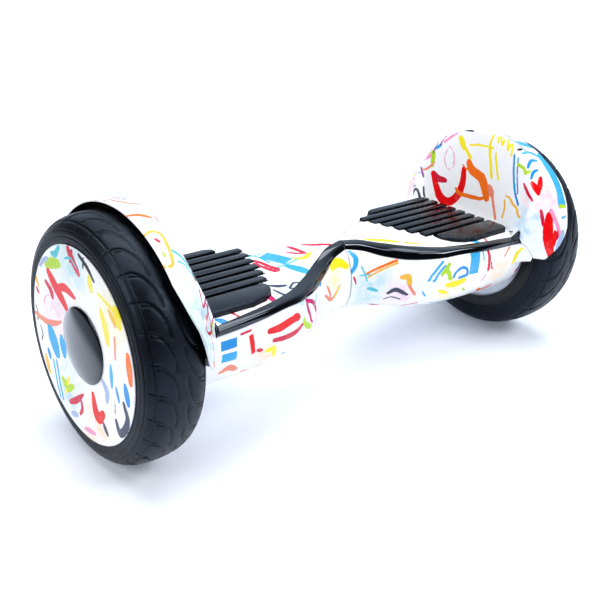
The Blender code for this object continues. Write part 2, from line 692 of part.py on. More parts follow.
def axle_and_stator(label, side):
    w = WHEEL_U
    turned(label + "_wheel_axle",
           [(0.0, w + 0.0270), (AXLE_RADIUS, w + 0.0270), (AXLE_RADIUS, 0.1980), (0.0, 0.1980)], side,
           "steel", 24, closed=False)
    turned(label + "_stator",
           [(0.0831, w + 0.0125), (0.0831, w - 0.0125), (0.0630, w - 0.0125), (0.0610, w - 0.0040),
            (0.0240, w - 0.0040), (0.0210, w - 0.0150), (BORE, w - 0.0150), (BORE, w + 0.0150),
            (0.0210, w + 0.0150), (0.0240, w + 0.0040), (0.0610, w + 0.0040), (0.0630, w + 0.0125)],
           side, "copper", LATHE_STEPS)


# ---- electronics ----
def gyro_board(label, side):
    name = label + "_gyro_board"
    obj = box(name, *side_box(side, (0.118, -0.038, 0.1352), (0.182, 0.038, 0.1368)), "circuit_board")
    for k, y in enumerate((-0.028, 0.028)):
        switch = box("%s_switch_%d" % (name, k),
                     *side_box(side, (0.144, y - 0.006, 0.1360), (0.156, y + 0.006, 0.1387)), None)
        join(obj, switch)
    return obj


def lamp_board(label, side):
    """Small board with two lamps, behind the wide part of the front trim."""
    name = label + "_lamp_board"
    bm = box_bmesh((-0.012, -0.0008, -0.004), (0.012, 0.0008, 0.004))
    turn = Matrix.Rotation(side * math.radians(-27), 4, "Z") @ Matrix.Rotation(math.radians(-38), 4, "X")
    place = Matrix.Translation((side * 0.079, -0.0440, 0.1440)) @ turn
    bmesh.ops.transform(bm, matrix=place, verts=bm.verts)
    obj = add_mesh(name, mesh_from_bmesh(name, bm), "circuit_board")
    for k, x in enumerate((-0.006, 0.006)):
        lamp = box_bmesh((x - 0.0022, -0.0028, -0.0022), (x + 0.0022, 0.0, 0.0022))
        bmesh.ops.transform(lamp, matrix=place, verts=lamp.verts)
        join(obj, add_mesh("%s_lamp_%d" % (name, k), mesh_from_bmesh(name + "_lamp", lamp), None))
    return obj


def main_board():
    obj = box("main_board", (-0.190, -0.042, 0.1000), (-0.106, 0.042, 0.1016), "circuit_board")
    sink = box("main_board_heat_sink", (-0.184, -0.036, 0.1010), (-0.160, 0.036, 0.1180), None)
    join(obj, sink)
    for k, y in enumerate((-0.026, 0.0, 0.026)):
        join(obj, cylinder("main_board_capacitor_%d" % k, "Z", 0.0065, 0.1010, 0.1240, (-0.135, y), None, 16))
    return obj


def battery():
    box("battery_pack", (0.1035, -0.046, FRAME_PLATE_TOP + 0.0005), (0.1940, 0.046, 0.1310),
        "battery_wrap", 0.004)
    strap = box("battery_bracket", (0.140, -0.0480, 0.0930), (0.156, 0.0480, 0.1325), "steel")
    cut(strap, box("battery_bracket_inside", (0.130, -0.0466, 0.080), (0.170, 0.0466, 0.1314), None))


def rear_controls():
    depth = curve_at(np.array([SOCKET_U]), DECK_U, DECK_HALF_DEPTH)[0]
    shell = bpy.data.objects["right_lower_shell"]
    for name, u, radius in (("socket_hole", SOCKET_U, SOCKET_RADIUS + GAP),
                            ("button_hole", BUTTON_U, 0.0100 + GAP)):
        cut(shell, cylinder(name, "Y", radius, 0.070, 0.100, (u, CONTROL_Z), None, 20))
    socket = cylinder("charge_socket", "Y", SOCKET_RADIUS, 0.062, depth - 0.0015, (SOCKET_U, CONTROL_Z),
                      "black_plastic", 20)
    cut(socket, cylinder("socket_recess", "Y", 0.0065, 0.072, 0.100, (SOCKET_U, CONTROL_Z), None, 20))

    flap_y = depth + 0.0006
    flap = cylinder("charge_port_cap", "Y", 0.0110, flap_y, flap_y + 0.002, (SOCKET_U, CONTROL_Z),
                    "soft_rubber", 20)
    join(flap, box("charge_port_cap_strap", (SOCKET_U - 0.004, flap_y, CONTROL_Z + 0.009),
                   (SOCKET_U + 0.004, flap_y + 0.002, CONTROL_Z + 0.0150), None))

    bezel = cylinder("power_button_bezel", "Y", 0.0100, 0.0800, depth + 0.0008, (BUTTON_U, CONTROL_Z),
                     "gloss_black", 20)
    cut(bezel, cylinder("bezel_inside", "Y", BUTTON_RADIUS + GAP, 0.078, 0.100, (BUTTON_U, CONTROL_Z),
                        None, 20))
    cylinder("power_button", "Y", BUTTON_RADIUS, 0.0830, depth + 0.0022, (BUTTON_U, CONTROL_Z),
             "steel", 20)


def place_origin(name, point):
    """Puts an object's origin on its joint's axis without moving its shape."""
    obj = bpy.data.objects[name]
    shift = Matrix.Translation(point)
    obj.data.transform(shift.inverted() @ obj.matrix_basis)
    obj.matrix_basis = shift


RIGHT_HALF = ("right_upper_shell", "right_lower_shell", "right_front_trim", "right_rear_trim",
              "right_arch_liner", "right_frame", "right_axle_clamp", "right_gyro_board",
              "right_lamp_board", "right_pad_gasket", "battery_pack", "battery_bracket",
              "charge_socket", "power_button_bezel")


def build():
    for label, side in (("left", -1), ("right", 1)):
        upper_shell(label, side)
        lower_shell(label, side)
        trim_strip(label, side, "front")
        trim_strip(label, side, "rear")
        arch_liner(label, side)
        frame(label, side)
        axle_clamp(label, side)
        axle_and_stator(label, side)
        gyro_board(label, side)
        lamp_board(label, side)
        pad_gasket(label, side)
        pedal_plate(label, side)
        foot_pad(label, side)
        wheel(label, side)
    pivot_parts()
    centre_harness()
    main_board()
    battery()
    rear_controls()
    for label, side in (("left", -1), ("right", 1)):
        for piece in ("foot_pad", "pedal_plate"):
            place_origin(label + "_" + piece, (side * 0.165, 0, PAD_BOTTOM))
    place_origin("charge_port_cap", (SOCKET_U, FLAP_HINGE_Y, CONTROL_Z + 0.0140))
    place_origin("power_button", (BUTTON_U, 0.0830, CONTROL_Z))
    for name in RIGHT_HALF:
        place_origin(name, (0, 0, AXLE_Z))


build()
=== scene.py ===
"""Look of the self balancing hoverboard: detailed pieces, print, materials, floor, lights and
camera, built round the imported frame. Metres, +Z up, X along the board, the front is -Y.
u is the distance from the middle plane between the two halves, and an angle runs round the
board's section in degrees: 0 is the front, 90 the top, 180 the back."""
import json
import math

import bmesh
import bpy
import numpy as np
from mathutils import Matrix, Vector


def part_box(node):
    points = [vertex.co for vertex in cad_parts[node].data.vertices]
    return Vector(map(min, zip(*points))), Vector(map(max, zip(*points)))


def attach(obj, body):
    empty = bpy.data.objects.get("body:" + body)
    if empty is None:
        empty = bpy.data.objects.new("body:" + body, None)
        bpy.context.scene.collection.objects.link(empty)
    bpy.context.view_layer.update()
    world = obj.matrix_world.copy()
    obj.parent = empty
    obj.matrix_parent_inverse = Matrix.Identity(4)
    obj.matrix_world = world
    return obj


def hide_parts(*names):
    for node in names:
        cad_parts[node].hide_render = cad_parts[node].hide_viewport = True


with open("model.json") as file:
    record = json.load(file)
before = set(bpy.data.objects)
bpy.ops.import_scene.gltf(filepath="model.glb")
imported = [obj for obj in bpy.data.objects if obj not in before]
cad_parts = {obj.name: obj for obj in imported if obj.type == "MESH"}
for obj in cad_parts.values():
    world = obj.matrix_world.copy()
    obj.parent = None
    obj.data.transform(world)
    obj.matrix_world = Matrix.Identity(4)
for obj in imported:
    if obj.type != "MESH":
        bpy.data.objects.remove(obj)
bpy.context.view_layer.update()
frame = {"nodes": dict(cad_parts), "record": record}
JOINTS = {joint["name"]: joint for joint in frame["record"]["behaviour"]["joints"]}
WHEEL_U = JOINTS["right_wheel_spin"]["pos_m"][0]
AXLE_Z = JOINTS["right_wheel_spin"]["pos_m"][2]
SIDES = (("left", -1), ("right", 1))

# ---- sizes of the moulding, the same as the solids' ----
TYRE_RADIUS = 0.127
TYRE_HALF_WIDTH = 0.0335
FENDER_RADIUS = 0.139
FENDER_HEIGHT = 0.1352
FENDER_EDGE_U = 0.281
SHELL = 0.003
DECK_U = (0.0, 0.020, 0.050, 0.085, 0.120, 0.160, 0.200, 0.250, 0.285)
DECK_HALF_DEPTH = (0.0355, 0.0380, 0.0500, 0.0700, 0.0835, 0.0890, 0.0900, 0.0900, 0.0900)
DECK_TOP = (0.1735, 0.1732, 0.1692, 0.1636, 0.1600, 0.1592, 0.1590, 0.1590, 0.1590)
DECK_BOTTOM = (0.0845, 0.0835, 0.0790, 0.0720, 0.0670, 0.0650, 0.0640, 0.0620, 0.0620)
TOP_POWER = (2.3, 2.3, 2.6, 3.3, 4.4, 5.2, 5.4, 5.4, 5.4)
BOTTOM_POWER = (2.2, 2.2, 2.2, 2.2, 2.1, 2.1, 2.1, 2.0, 2.0)
WAIST_Z = 0.124
TRIM_U = (0.0, 0.020, 0.045, 0.070, 0.100, 0.130, 0.170, 0.205, 0.230)
TRIM_TOP = (76.0, 70.0, 61.5, 57.0, 55.0, 53.0, 47.5, 41.0, 35.0)
TRIM_LOW = (55.0, 47.0, 34.0, 27.0, 26.0, 27.5, 21.0, 16.5, 15.0)
REAR_TRIM_TOP = 24.0
REAR_TRIM_LOW = 5.0
TRIM_END_U = 0.2275
TRIM_GAP = 0.35
FENDER_FOOT_ANGLE = -4.0
LOWER_END_U = 0.2400
JOINT_U = (0.2400, 0.2430, 0.2475, 0.2510, 0.2575, 0.2640, 0.2705, 0.2765, 0.281)
JOINT_ANGLE = (0.5, 0.5, 0.5, 3.0, 8.5, 16.5, 24.5, 32.0, 42.0)
SEAM_U = 0.0007

# the fender's wall and flare
WALL_HEIGHT_ANGLE = (0.0, 25.0, 38.0, 50.0, 65.0, 90.0)
WALL_START_U = (0.2150, 0.2180, 0.2235, 0.2300, 0.2325, 0.2335)
WALL_WIDTH = 0.024
FLARE_TOP_U = 0.266
FLARE_WIDTH = 0.0385
RIDGE_SOFTNESS = 0.035
FENDER_START_U = 0.21

PAD_OUTER_U = 0.2290
PAD_FRONT_U = 0.1305
PAD_REAR_U = 0.120
PAD_TOP = 0.1625
PAD_BASE_TOP = 0.1585
PAD_BOTTOM = 0.1491
RIB_PITCH = 0.016
RIB_WIDTH = 0.0105
RIB_FIRST_Y = -0.029
RIB_INNER_U = (0.1205, 0.1125, 0.1070, 0.1015, 0.0965, 0.0935)
RIB_STEP = 0.003

COVER_RADIUS = 0.1005
CAP_RADIUS = 0.0392
CAP_HEIGHT = 0.0058
DISH = 0.0030
COVER_FACE = 0.0350
COVER_BACK_RADIUS = 0.0345


# ---- the moulded surface ----
def curve_at(u, stations, values):
    """Smooth curve through the stations, with no overshoot between them."""
    x = np.asarray(stations, float)
    y = np.asarray(values, float)
    step = np.diff(x)
    slope = np.diff(y) / step
    tangent = np.zeros_like(y)
    tangent[0], tangent[-1] = slope[0], slope[-1]
    same_way = slope[:-1] * slope[1:] > 0
    weight_a = 2 * step[1:] + step[:-1]
    weight_b = step[1:] + 2 * step[:-1]
    safe_a = np.where(same_way, slope[:-1], 1.0)
    safe_b = np.where(same_way, slope[1:], 1.0)
    harmonic = (weight_a + weight_b) / (weight_a / safe_a + weight_b / safe_b)
    tangent[1:-1] = np.where(same_way, harmonic, 0.0)
    u = np.clip(u, x[0], x[-1])
    i = np.clip(np.searchsorted(x, u, side="right") - 1, 0, len(step) - 1)
    t = (u - x[i]) / step[i]
    h00 = (1 + 2 * t) * (1 - t) ** 2
    h10 = t * (1 - t) ** 2
    h01 = t * t * (3 - 2 * t)
    h11 = t * t * (t - 1)
    return (h00 * y[i] + h10 * step[i] * tangent[i]
            + h01 * y[i + 1] + h11 * step[i] * tangent[i + 1])


def smooth_step(t):
    t = np.clip(t, 0.0, 1.0)
    return t * t * (3 - 2 * t)


def deck_section(u, angle):
    c, s = np.cos(angle), np.sin(angle)
    power = np.where(s >= 0, curve_at(u, DECK_U, TOP_POWER), curve_at(u, DECK_U, BOTTOM_POWER))
    height = np.where(s >= 0, curve_at(u, DECK_U, DECK_TOP) - WAIST_Z,
                      WAIST_Z - curve_at(u, DECK_U, DECK_BOTTOM))
    y = -curve_at(u, DECK_U, DECK_HALF_DEPTH) * np.sign(c) * np.abs(c) ** (2 / power)
    z = WAIST_Z + height * np.sign(s) * np.abs(s) ** (2 / power)
    return y, z


def fender_share(u, angle):
    """0 on the deck, 1 on the fender's drum, with a soft ridge between its wall and its flare."""
    up = np.degrees(np.arcsin(np.clip(np.sin(angle), -1, 1)))
    t = np.clip((u - curve_at(up, WALL_HEIGHT_ANGLE, WALL_START_U)) / WALL_WIDTH, 0, 1)
    wall = 0.5 * smooth_step(t) + 0.5 * t
    ridge = np.maximum((up - 22.0) / 55.0, 0.08)
    flare = 1 - (1 - ridge) * np.clip((FLARE_TOP_U - u) / FLARE_WIDTH, 0, None)
    low = np.minimum(wall, flare)
    share = (low - RIDGE_SOFTNESS * np.log1p(np.exp(-np.abs(wall - flare) / RIDGE_SOFTNESS))
             + RIDGE_SOFTNESS * math.log(2) * np.clip(low, 0, 1) ** 0.5)
    foot = smooth_step((up - FENDER_FOOT_ANGLE) / 5.0)
    return np.clip(share, 0, 1) * foot * (u > FENDER_START_U)


def shell_point(u, degrees):
    """(y, z) on the outside of the moulding."""
    angle = np.radians(degrees)
    y, z = deck_section(u, angle)
    share = fender_share(u, angle)
    drum_y = -FENDER_RADIUS * np.cos(angle)
    height = np.where(np.sin(angle) > 0, FENDER_HEIGHT, FENDER_RADIUS)
    drum_z = AXLE_Z + height * np.sin(angle)
    return y + (drum_y - y) * share, z + (drum_z - z) * share


def surface(side, u, degrees):
    """World points on the moulding for arrays of u and angle."""
    y, z = shell_point(u, degrees)
    return np.stack([side * u, y, z], -1)


def lower_edge(u, place):
    """Angle of the lower shell's edge: below the trim, then beside the fender's foot."""
    along_trim = curve_at(u, TRIM_U, TRIM_LOW) if place == "front" else REAR_TRIM_LOW
    foot = smooth_step((u - TRIM_END_U) / (LOWER_END_U - TRIM_END_U))
    return (along_trim - TRIM_GAP) * (1 - foot)


def upper_edge(u, place):
    """Angle of the upper shell's edge: above the trim, then down to the lower shell and round
    the fender's foot."""
    along_trim = curve_at(u, TRIM_U, TRIM_TOP) if place == "front" else REAR_TRIM_TOP
    beyond = np.where(u < LOWER_END_U, lower_edge(u, place) + 0.45,
                      curve_at(u, JOINT_U, JOINT_ANGLE))
    share = smooth_step((u - TRIM_END_U - 0.0004) / 0.0014)
    return (along_trim + TRIM_GAP) * (1 - share) + beyond * share


# ---- mesh helpers ----
COLLECTION = bpy.data.collections.new("hoverboard_look")
bpy.context.scene.collection.children.link(COLLECTION)


def add_object(name, mesh, *materials):
    obj = bpy.data.objects.new(name, mesh)
    COLLECTION.objects.link(obj)
    for mat in materials:
        mesh.materials.append(mat)
    return obj


def place(obj, body, nodes, slot):
    """Rides a finished piece on its body in place of its CAD nodes."""
    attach(obj, body)
    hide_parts(*nodes)
    return obj


def mesh_of(bm, name):
    """A new mesh from a bmesh, which is freed."""
    mesh = bpy.data.meshes.new(name)
    bm.to_mesh(mesh)
    bm.free()
    return mesh


def face_outwards(mesh):
    bm = bmesh.new()
    bm.from_mesh(mesh)
    bmesh.ops.recalc_face_normals(bm, faces=bm.faces)
    bm.to_mesh(mesh)
    bm.free()


def shade(mesh, sharp_angle):
    """Smooth shading, but for edges sharper than an angle."""
    mesh.shade_smooth()
    mesh.set_sharp_from_angle(angle=math.radians(sharp_angle))


def quads_over(index):
    """Quads over a rows x columns array of vertex numbers."""
    quads = np.stack([index[:-1, :-1], index[:-1, 1:], index[1:, 1:], index[1:, :-1]], -1)
    return quads.reshape(-1, 4)


def grid_mesh(name, points, flip=False, ring=False):
    """Quads over a rows x columns array of points, joined round both ways if ring is set."""
    rows, columns = points.shape[:2]
    index = np.arange(rows * columns).reshape(rows, columns)
    if ring:
        index = np.concatenate([index, index[:, :1]], axis=1)
        index = np.concatenate([index, index[:1]])
    quads = quads_over(index)
    if flip:
        quads = quads[:, ::-1]
    mesh = bpy.data.meshes.new(name)
    mesh.from_pydata(points.reshape(-1, 3).tolist(), [], quads.tolist())
    mesh.shade_smooth()
    return mesh


def bake_modifiers(obj):
    """Replaces an object's mesh with its modified one."""
    bpy.context.view_layer.update()
    depsgraph = bpy.context.evaluated_depsgraph_get()
    obj.data = bpy.data.meshes.new_from_object(
        obj.evaluated_get(depsgraph), preserve_all_data_layers=True, depsgraph=depsgraph)
    obj.modifiers.clear()
    shade(obj.data, 40)


def add_bevel(obj, width, segments=2, angle=50):
    mod = obj.modifiers.new("bevel", "BEVEL")
    mod.width = width
    mod.segments = segments
    mod.limit_method = "ANGLE"
    mod.angle_limit = math.radians(angle)


def boolean(obj, tools, operation):
    """Applies booleans with throwaway tools."""
    for tool in tools:
        mod = obj.modifiers.new(operation, "BOOLEAN")
        mod.operation = operation
        mod.object = tool
        mod.solver = "MANIFOLD"
    bake_modifiers(obj)
    for tool in tools:
        bpy.data.objects.remove(tool, do_unlink=True)


def prism(name, outline, low_z, high_z, *materials):
    """An upright prism over a flat outline of (x, y) points."""
    bm = bmesh.new()
    area = sum(a[0] * b[1] - b[0] * a[1] for a, b in zip(outline, outline[1:] + outline[:1]))
    if area < 0:
        outline = outline[::-1]
    low = [bm.verts.new((x, y, low_z)) for x, y in outline]
    high = [bm.verts.new((x, y, high_z)) for x, y in outline]
    bm.faces.new(low[::-1])
    bm.faces.new(high)
    for k in range(len(outline)):
        n = (k + 1) % len(outline)
        bm.faces.new((low[k], low[n], high[n], high[k]))
    return add_object(name, mesh_of(bm, name), *materials)


def rectangle(half_width, low, high):
    return [(-half_width, low), (half_width, low), (half_width, high), (-half_width, high)]


def lathe(name, profile, origin, axis, steps, *materials, sharp_angle=35):
    """A closed turned piece. The profile is (radius, height along the axis), from the far end
    of its outer side to the near end and back along its inner side; zero radii close a pole."""
    axis = Vector(axis).normalized()
    turn = Vector((0, 0, 1)).rotation_difference(axis).to_matrix()
    bm = bmesh.new()
    rings = []
    for radius, height in profile:
        if radius < 1e-7:
            rings.append([bm.verts.new((0, 0, height))])
            continue
        rings.append([bm.verts.new((radius * math.cos(a), radius * math.sin(a), height))
                      for a in np.linspace(0, 2 * math.pi, steps, endpoint=False)])
    pole_ends = len(rings[0]) == 1 and len(rings[-1]) == 1
    pairs = list(zip(rings, rings[1:])) + ([] if pole_ends else [(rings[-1], rings[0])])
    for first, second in pairs:
        for k in range(steps):
            n = (k + 1) % steps
            loop = [first[k % len(first)], first[n % len(first)],
                    second[n % len(second)], second[k % len(second)]]
            face = []
            for vert in loop:
                if vert not in face:
                    face.append(vert)
            if len(face) > 2:
                bm.faces.new(face)
    bmesh.ops.recalc_face_normals(bm, faces=bm.faces)
    bmesh.ops.transform(bm, matrix=Matrix.Translation(origin) @ turn.to_4x4(), verts=bm.verts)
    mesh = mesh_of(bm, name)
    shade(mesh, sharp_angle)
    return add_object(name, mesh, *materials)


def drill(radius, top, bottom, centre, axis, steps):
    """A plain cylinder that cuts a hole."""
    profile = [(0.0, top), (radius, top), (radius, bottom), (0.0, bottom)]
    return lathe("drill", profile, centre, axis, steps)


# ---- materials ----
def linear(red, green, blue):
    """Shader colour from 0-255 display values."""
    def channel(value):
        value = value / 255
        return value / 12.92 if value <= 0.04045 else ((value + 0.055) / 1.055) ** 2.4
    return (channel(red), channel(green), channel(blue), 1.0)


class Nodes:
    """Small helper for building the nodes of a material, or of the world."""

    def __init__(self, owner, shader="Principled BSDF", coordinates="Object"):
        owner.use_nodes = True
        self.material = owner
        self.tree = owner.node_tree
        self.shader = self.tree.nodes[shader]
        self.position = self.add("ShaderNodeTexCoord").outputs[coordinates]

    @classmethod
    def named(cls, name):
        """Nodes of a new material."""
        return cls(bpy.data.materials.new(name))

    def feed(self, socket, value):
        """Sets a socket to a number or colour, or links it to another node's output."""
        if isinstance(value, (int, float, tuple)):
            socket.default_value = value
        else:
            self.tree.links.new(value, socket)

    def add(self, kind, inputs=None, **settings):
        node = self.tree.nodes.new(kind)
        for key, value in settings.items():
            setattr(node, key, value)
        for key, value in (inputs or {}).items():
            self.feed(node.inputs[key], value)
        return node

    def set(self, **values):
        """Feeds the shader's own sockets."""
        for key, value in values.items():
            self.feed(self.shader.inputs[key.replace("_", " ")], value)

    def noise(self, scale, detail=3.0, rough=0.55, stretch=None):
        source = self.position
        if stretch:
            mapping = self.add("ShaderNodeMapping", {"Vector": source, "Scale": stretch})
            source = mapping.outputs["Vector"]
        return self.add("ShaderNodeTexNoise", {
            "Vector": source, "Scale": scale, "Detail": detail, "Roughness": rough}).outputs["Fac"]

    def cells(self, feature, scale):
        return self.add("ShaderNodeTexVoronoi", {"Vector": self.position, "Scale": scale},
                        feature=feature).outputs["Distance"]

    def axes(self):
        """The position's x, y and z."""
        return self.add("ShaderNodeSeparateXYZ", {"Vector": self.position}).outputs[:3]

    def attribute(self, name):
        return self.add("ShaderNodeAttribute", attribute_name=name).outputs

    def spread(self, value, low, high, to_low=0.0, to_high=1.0):
        return self.add("ShaderNodeMapRange", {
            "Value": value, "From Min": low, "From Max": high, "To Min": to_low,
            "To Max": to_high}, interpolation_type="SMOOTHSTEP").outputs["Result"]

    def maths(self, operation, first, second=0.0):
        return self.add("ShaderNodeMath", {0: first, 1: second}, operation=operation).outputs[0]

    def mix(self, factor, first, second):
        node = self.add("ShaderNodeMix", data_type="RGBA")
        sockets = [s for s in node.inputs if s.enabled and (s.type == "RGBA" or s.name == "Factor")]
        for socket, value in zip(sockets, (factor, first, second)):
            self.feed(socket, value)
        return next(s for s in node.outputs if s.type == "RGBA")

    def gloss(self, scale, smoothest, roughest, detail=3.0):
        """Uneven roughness."""
        self.set(Roughness=self.spread(self.noise(scale, detail), 0.3, 0.7, smoothest, roughest))

    def bump(self, height, strength, distance):
        node = self.add("ShaderNodeBump",
                        {"Strength": strength, "Distance": distance, "Height": height})
        self.set(Normal=node.outputs["Normal"])


def plain_finish(name, colour, rough, metallic=0.0, grain=900.0, grain_depth=0.00004,
                 stretch=None, coat=0.0):
    """A finish with fine grain, uneven gloss and slight changes of shade."""
    n = Nodes.named(name)
    dark, light = (tuple(min(1.0, c * share) for c in linear(*colour)[:3]) + (1.0,)
                   for share in (0.88, 1.12))
    n.set(Base_Color=n.mix(n.noise(34.0, 4.0), dark, light), Metallic=metallic,
          Coat_Weight=coat, Coat_Roughness=0.06)
    n.gloss(140.0, rough * 0.86, min(1.0, rough * 1.14))
    n.bump(n.noise(grain, 2.0, 0.5, stretch), 0.5, grain_depth)
    return n.material


def ring_and_shade_paint(name):
    """Cast cover with a silver ring near its outside and near black elsewhere: partly its own dark
    paint, partly painted shade of the gap under the shell's end.
    """
    n = Nodes.named(name)
    _, y, z = n.axes()
    z = n.maths("SUBTRACT", z, AXLE_Z)
    radius = n.maths("SQRT", n.maths("ADD", n.maths("MULTIPLY", y, y), n.maths("MULTIPLY", z, z)))
    ring = n.maths("MULTIPLY", n.spread(radius, 0.0735, 0.0739),
                   n.spread(radius, 0.0842, 0.0846, 1.0, 0.0))
    silver = n.mix(n.noise(30.0, 4.0), linear(204, 207, 216), linear(226, 228, 236))
    # Near black inside the ring is partly painted shade, where the lower shell's end shades the
    # cover.
    n.set(Base_Color=n.mix(ring, linear(16, 17, 20), silver),
          Metallic=n.spread(ring, 0.0, 1.0, 0.0, 0.45))
    n.gloss(140.0, 0.30, 0.42)
    n.bump(n.noise(300.0, 2.0), 0.3, 0.00004)
    return n.material


PRINT_LAYERS = 5
PRINT_REACH = 0.020
PRINT_MARGIN = 0.005
WASH_STRENGTH = 0.55


def printed_plastic(name):
    """Glossy white plastic under a water-transfer print. Each layer's attribute holds the
    nearest stroke's colour, and the distance to its edge in millimetres as alpha."""
    n = Nodes.named(name)

    def uneven(scale, detail, size):
        return n.maths("MULTIPLY", n.maths("SUBTRACT", n.noise(scale, detail), 0.5), size)

    wash = n.attribute("print_wash")
    cloud = n.spread(n.noise(52.0, 5.0, 0.7), 0.42, 0.62, 0.25, 1.0)
    colour = n.mix(n.maths("MULTIPLY", wash["Alpha"], cloud), linear(250, 250, 252), wash["Color"])
    speck = n.maths("MULTIPLY", n.spread(n.cells("F1", 95.0), 0.085, 0.060),
                    n.spread(n.noise(31.0, 2.0), 0.60, 0.64, 0.0, 0.8))
    colour = n.mix(speck, colour, linear(120, 120, 140))
    ragged = n.maths("ADD", uneven(150.0, 4.0, 1.3), uneven(800.0, 2.0, 0.4))
    streak = n.spread(n.noise(75.0, 6.0, 0.75), 0.30, 0.50, 0.92, 1.0)
    for k in range(PRINT_LAYERS):
        layer = n.attribute("print_%d" % k)
        edge = n.maths("ADD", layer["Alpha"], ragged)
        ink = n.maths("MULTIPLY", n.spread(edge, 0.30, -0.15), streak)
        colour = n.mix(ink, colour, layer["Color"])
    n.set(Base_Color=colour, Coat_Weight=0.1, Coat_Roughness=0.04, Specular_IOR_Level=0.28)
    n.gloss(60.0, 0.16, 0.26)
    n.bump(n.noise(26.0, 2.0, 0.4), 0.35, 0.0003)
    return n.material


def tyre_rubber(name):
    """Tread rubber: fine grain, dusty patches, grooves darkened as painted shade, and reflections
    with a painted blue cast.
    """
    n = Nodes.named(name)
    edge = n.attribute("groove")["Fac"]
    dust = n.spread(n.noise(28.0, 5.0, 0.65), 0.35, 0.75)
    colour = n.mix(dust, linear(15, 16, 21), linear(27, 29, 36))
    # Near black along the grooves and sidewall rings is painted shade in the recesses, on top of
    # their cut depth; the specular tint paints a blue cast into the reflections, standing in for
    # bluish light around the board.
    n.set(Base_Color=n.mix(n.spread(edge, 0.40, 0.05), colour, linear(1, 1, 1)),
          Specular_IOR_Level=0.38, Specular_Tint=(0.62, 0.78, 1.0, 1.0))
    n.gloss(210.0, 0.34, 0.46)
    lip = n.maths("MULTIPLY", n.spread(edge, -0.1, 0.4), 4.0)
    n.bump(n.maths("ADD", n.noise(1500.0, 3.0, 0.6), lip), 0.45, 0.00010)
    return n.material


def pad_rubber(name):
    """Satin moulded rubber with a fine leathery texture."""
    n = Nodes.named(name)
    # The specular tint paints a blue cast into the rubber's reflections, standing in for bluish
    # light around the board.
    n.set(Base_Color=n.mix(n.noise(45.0, 4.0), linear(10, 10, 13), linear(18, 19, 24)),
          Specular_Tint=(0.66, 0.80, 1.0, 1.0))
    n.gloss(120.0, 0.22, 0.32)
    n.bump(n.maths("ADD", n.cells("SMOOTH_F1", 1100.0), n.noise(400.0, 2.0)), 0.20, 0.00003)
    return n.material


def piano_black(name):
    n = Nodes.named(name)
    # The specular tint paints a blue cast into the gloss black's reflections, standing in for
    # bluish light around the board.
    n.set(Base_Color=n.mix(n.noise(20.0), linear(2, 2, 4), linear(5, 5, 8)),
          Coat_Weight=0.8, Coat_Roughness=0.04, Specular_Tint=(0.58, 0.74, 1.0, 1.0))
    n.gloss(90.0, 0.07, 0.12)
    n.bump(n.noise(16.0, 2.0, 0.4), 0.3, 0.0003)
    return n.material


PRINTED = printed_plastic("printed_white_plastic")
# The shells are white plastic right through, but their inner skin is given near black as painted
# shade inside the fenders and shells.
INSIDE = plain_finish("inside_painted_shade", (15, 15, 17), 0.55)
TYRE_RUBBER = tyre_rubber("tread_rubber")
PAD_RUBBER = pad_rubber("pad_rubber")
PIANO_BLACK = piano_black("piano_black")
SOFT_RUBBER = plain_finish("soft_black_rubber", (40, 40, 43), 0.62, grain=700.0)
BLACK_PLASTIC = plain_finish("textured_black_plastic", (30, 31, 34), 0.50, grain=1300.0,
                             grain_depth=0.00012)
DARK_PAINT = plain_finish("dark_rim_paint", (12, 13, 17), 0.42, coat=0.1)
MOTOR_PAINT = ring_and_shade_paint("motor_cover_paint")
CAST = plain_finish("cast_aluminium", (178, 180, 184), 0.42, 1.0, grain=420.0,
                    grain_depth=0.00015)
STEEL = plain_finish("machined_steel", (176, 178, 181), 0.28, 1.0, grain=220.0,
                     stretch=(1.0, 1.0, 14.0))
ZINC = plain_finish("zinc_plated_screw", (150, 150, 156), 0.34, 1.0, grain=600.0)
COPPER = plain_finish("enamelled_copper", (200, 112, 62), 0.34, 1.0, grain=260.0,
                      grain_depth=0.0004, stretch=(30.0, 1.0, 1.0))
BRONZE = plain_finish("sintered_bronze", (196, 158, 96), 0.42, 1.0)
CIRCUIT = plain_finish("circuit_board", (22, 96, 56), 0.38, grain=330.0, grain_depth=0.0003)
BATTERY = plain_finish("battery_wrap", (38, 84, 170), 0.30, grain=60.0, grain_depth=0.0006)

NODE_FINISH = (
    ("arch_liner", BLACK_PLASTIC), ("axle_clamp", CAST), ("frame", CAST), ("wheel_axle", STEEL),
    ("stator", COPPER), ("gyro_board", CIRCUIT), ("lamp_board", CIRCUIT),
    ("pad_gasket", SOFT_RUBBER), ("pedal_plate", BLACK_PLASTIC), ("magnet_ring", STEEL),
    ("outer_bearing", STEEL), ("inner_bearing", STEEL), ("rim", DARK_PAINT),
    ("pivot_tube", STEEL), ("stop_pin", STEEL), ("inner_pivot_bush", BRONZE),
    ("outer_pivot_bush", BRONZE), ("retaining_ring", STEEL), ("centre_harness", SOFT_RUBBER),
    ("main_board", CIRCUIT), ("battery_pack", BATTERY), ("battery_bracket", STEEL),
    ("charge_socket", BLACK_PLASTIC),
)


def dress_cad_nodes():
    """Gives every CAD node that stays in view a finish of its own."""
    for name, obj in frame["nodes"].items():
        for ending, finish in NODE_FINISH:
            if name.endswith(ending):
                obj.data.materials.clear()
                obj.data.materials.append(finish)
                break


# ---- the print ----
INKS = {
    "red": (236, 22, 28), "crimson": (212, 40, 72), "magenta": (204, 32, 112),
    "pink": (240, 160, 196), "salmon": (242, 146, 120), "orange": (250, 124, 34),
    "amber": (244, 190, 66), "yellow": (250, 232, 52), "lime": (184, 220, 52),
    "sky": (66, 176, 232), "blue": (28, 148, 222), "teal": (88, 198, 214),
    "slate": (72, 78, 100), "violet": (150, 84, 160), "mist": (170, 190, 226),
    "black": (26, 26, 32),
}
INK_ORDER = list(INKS)

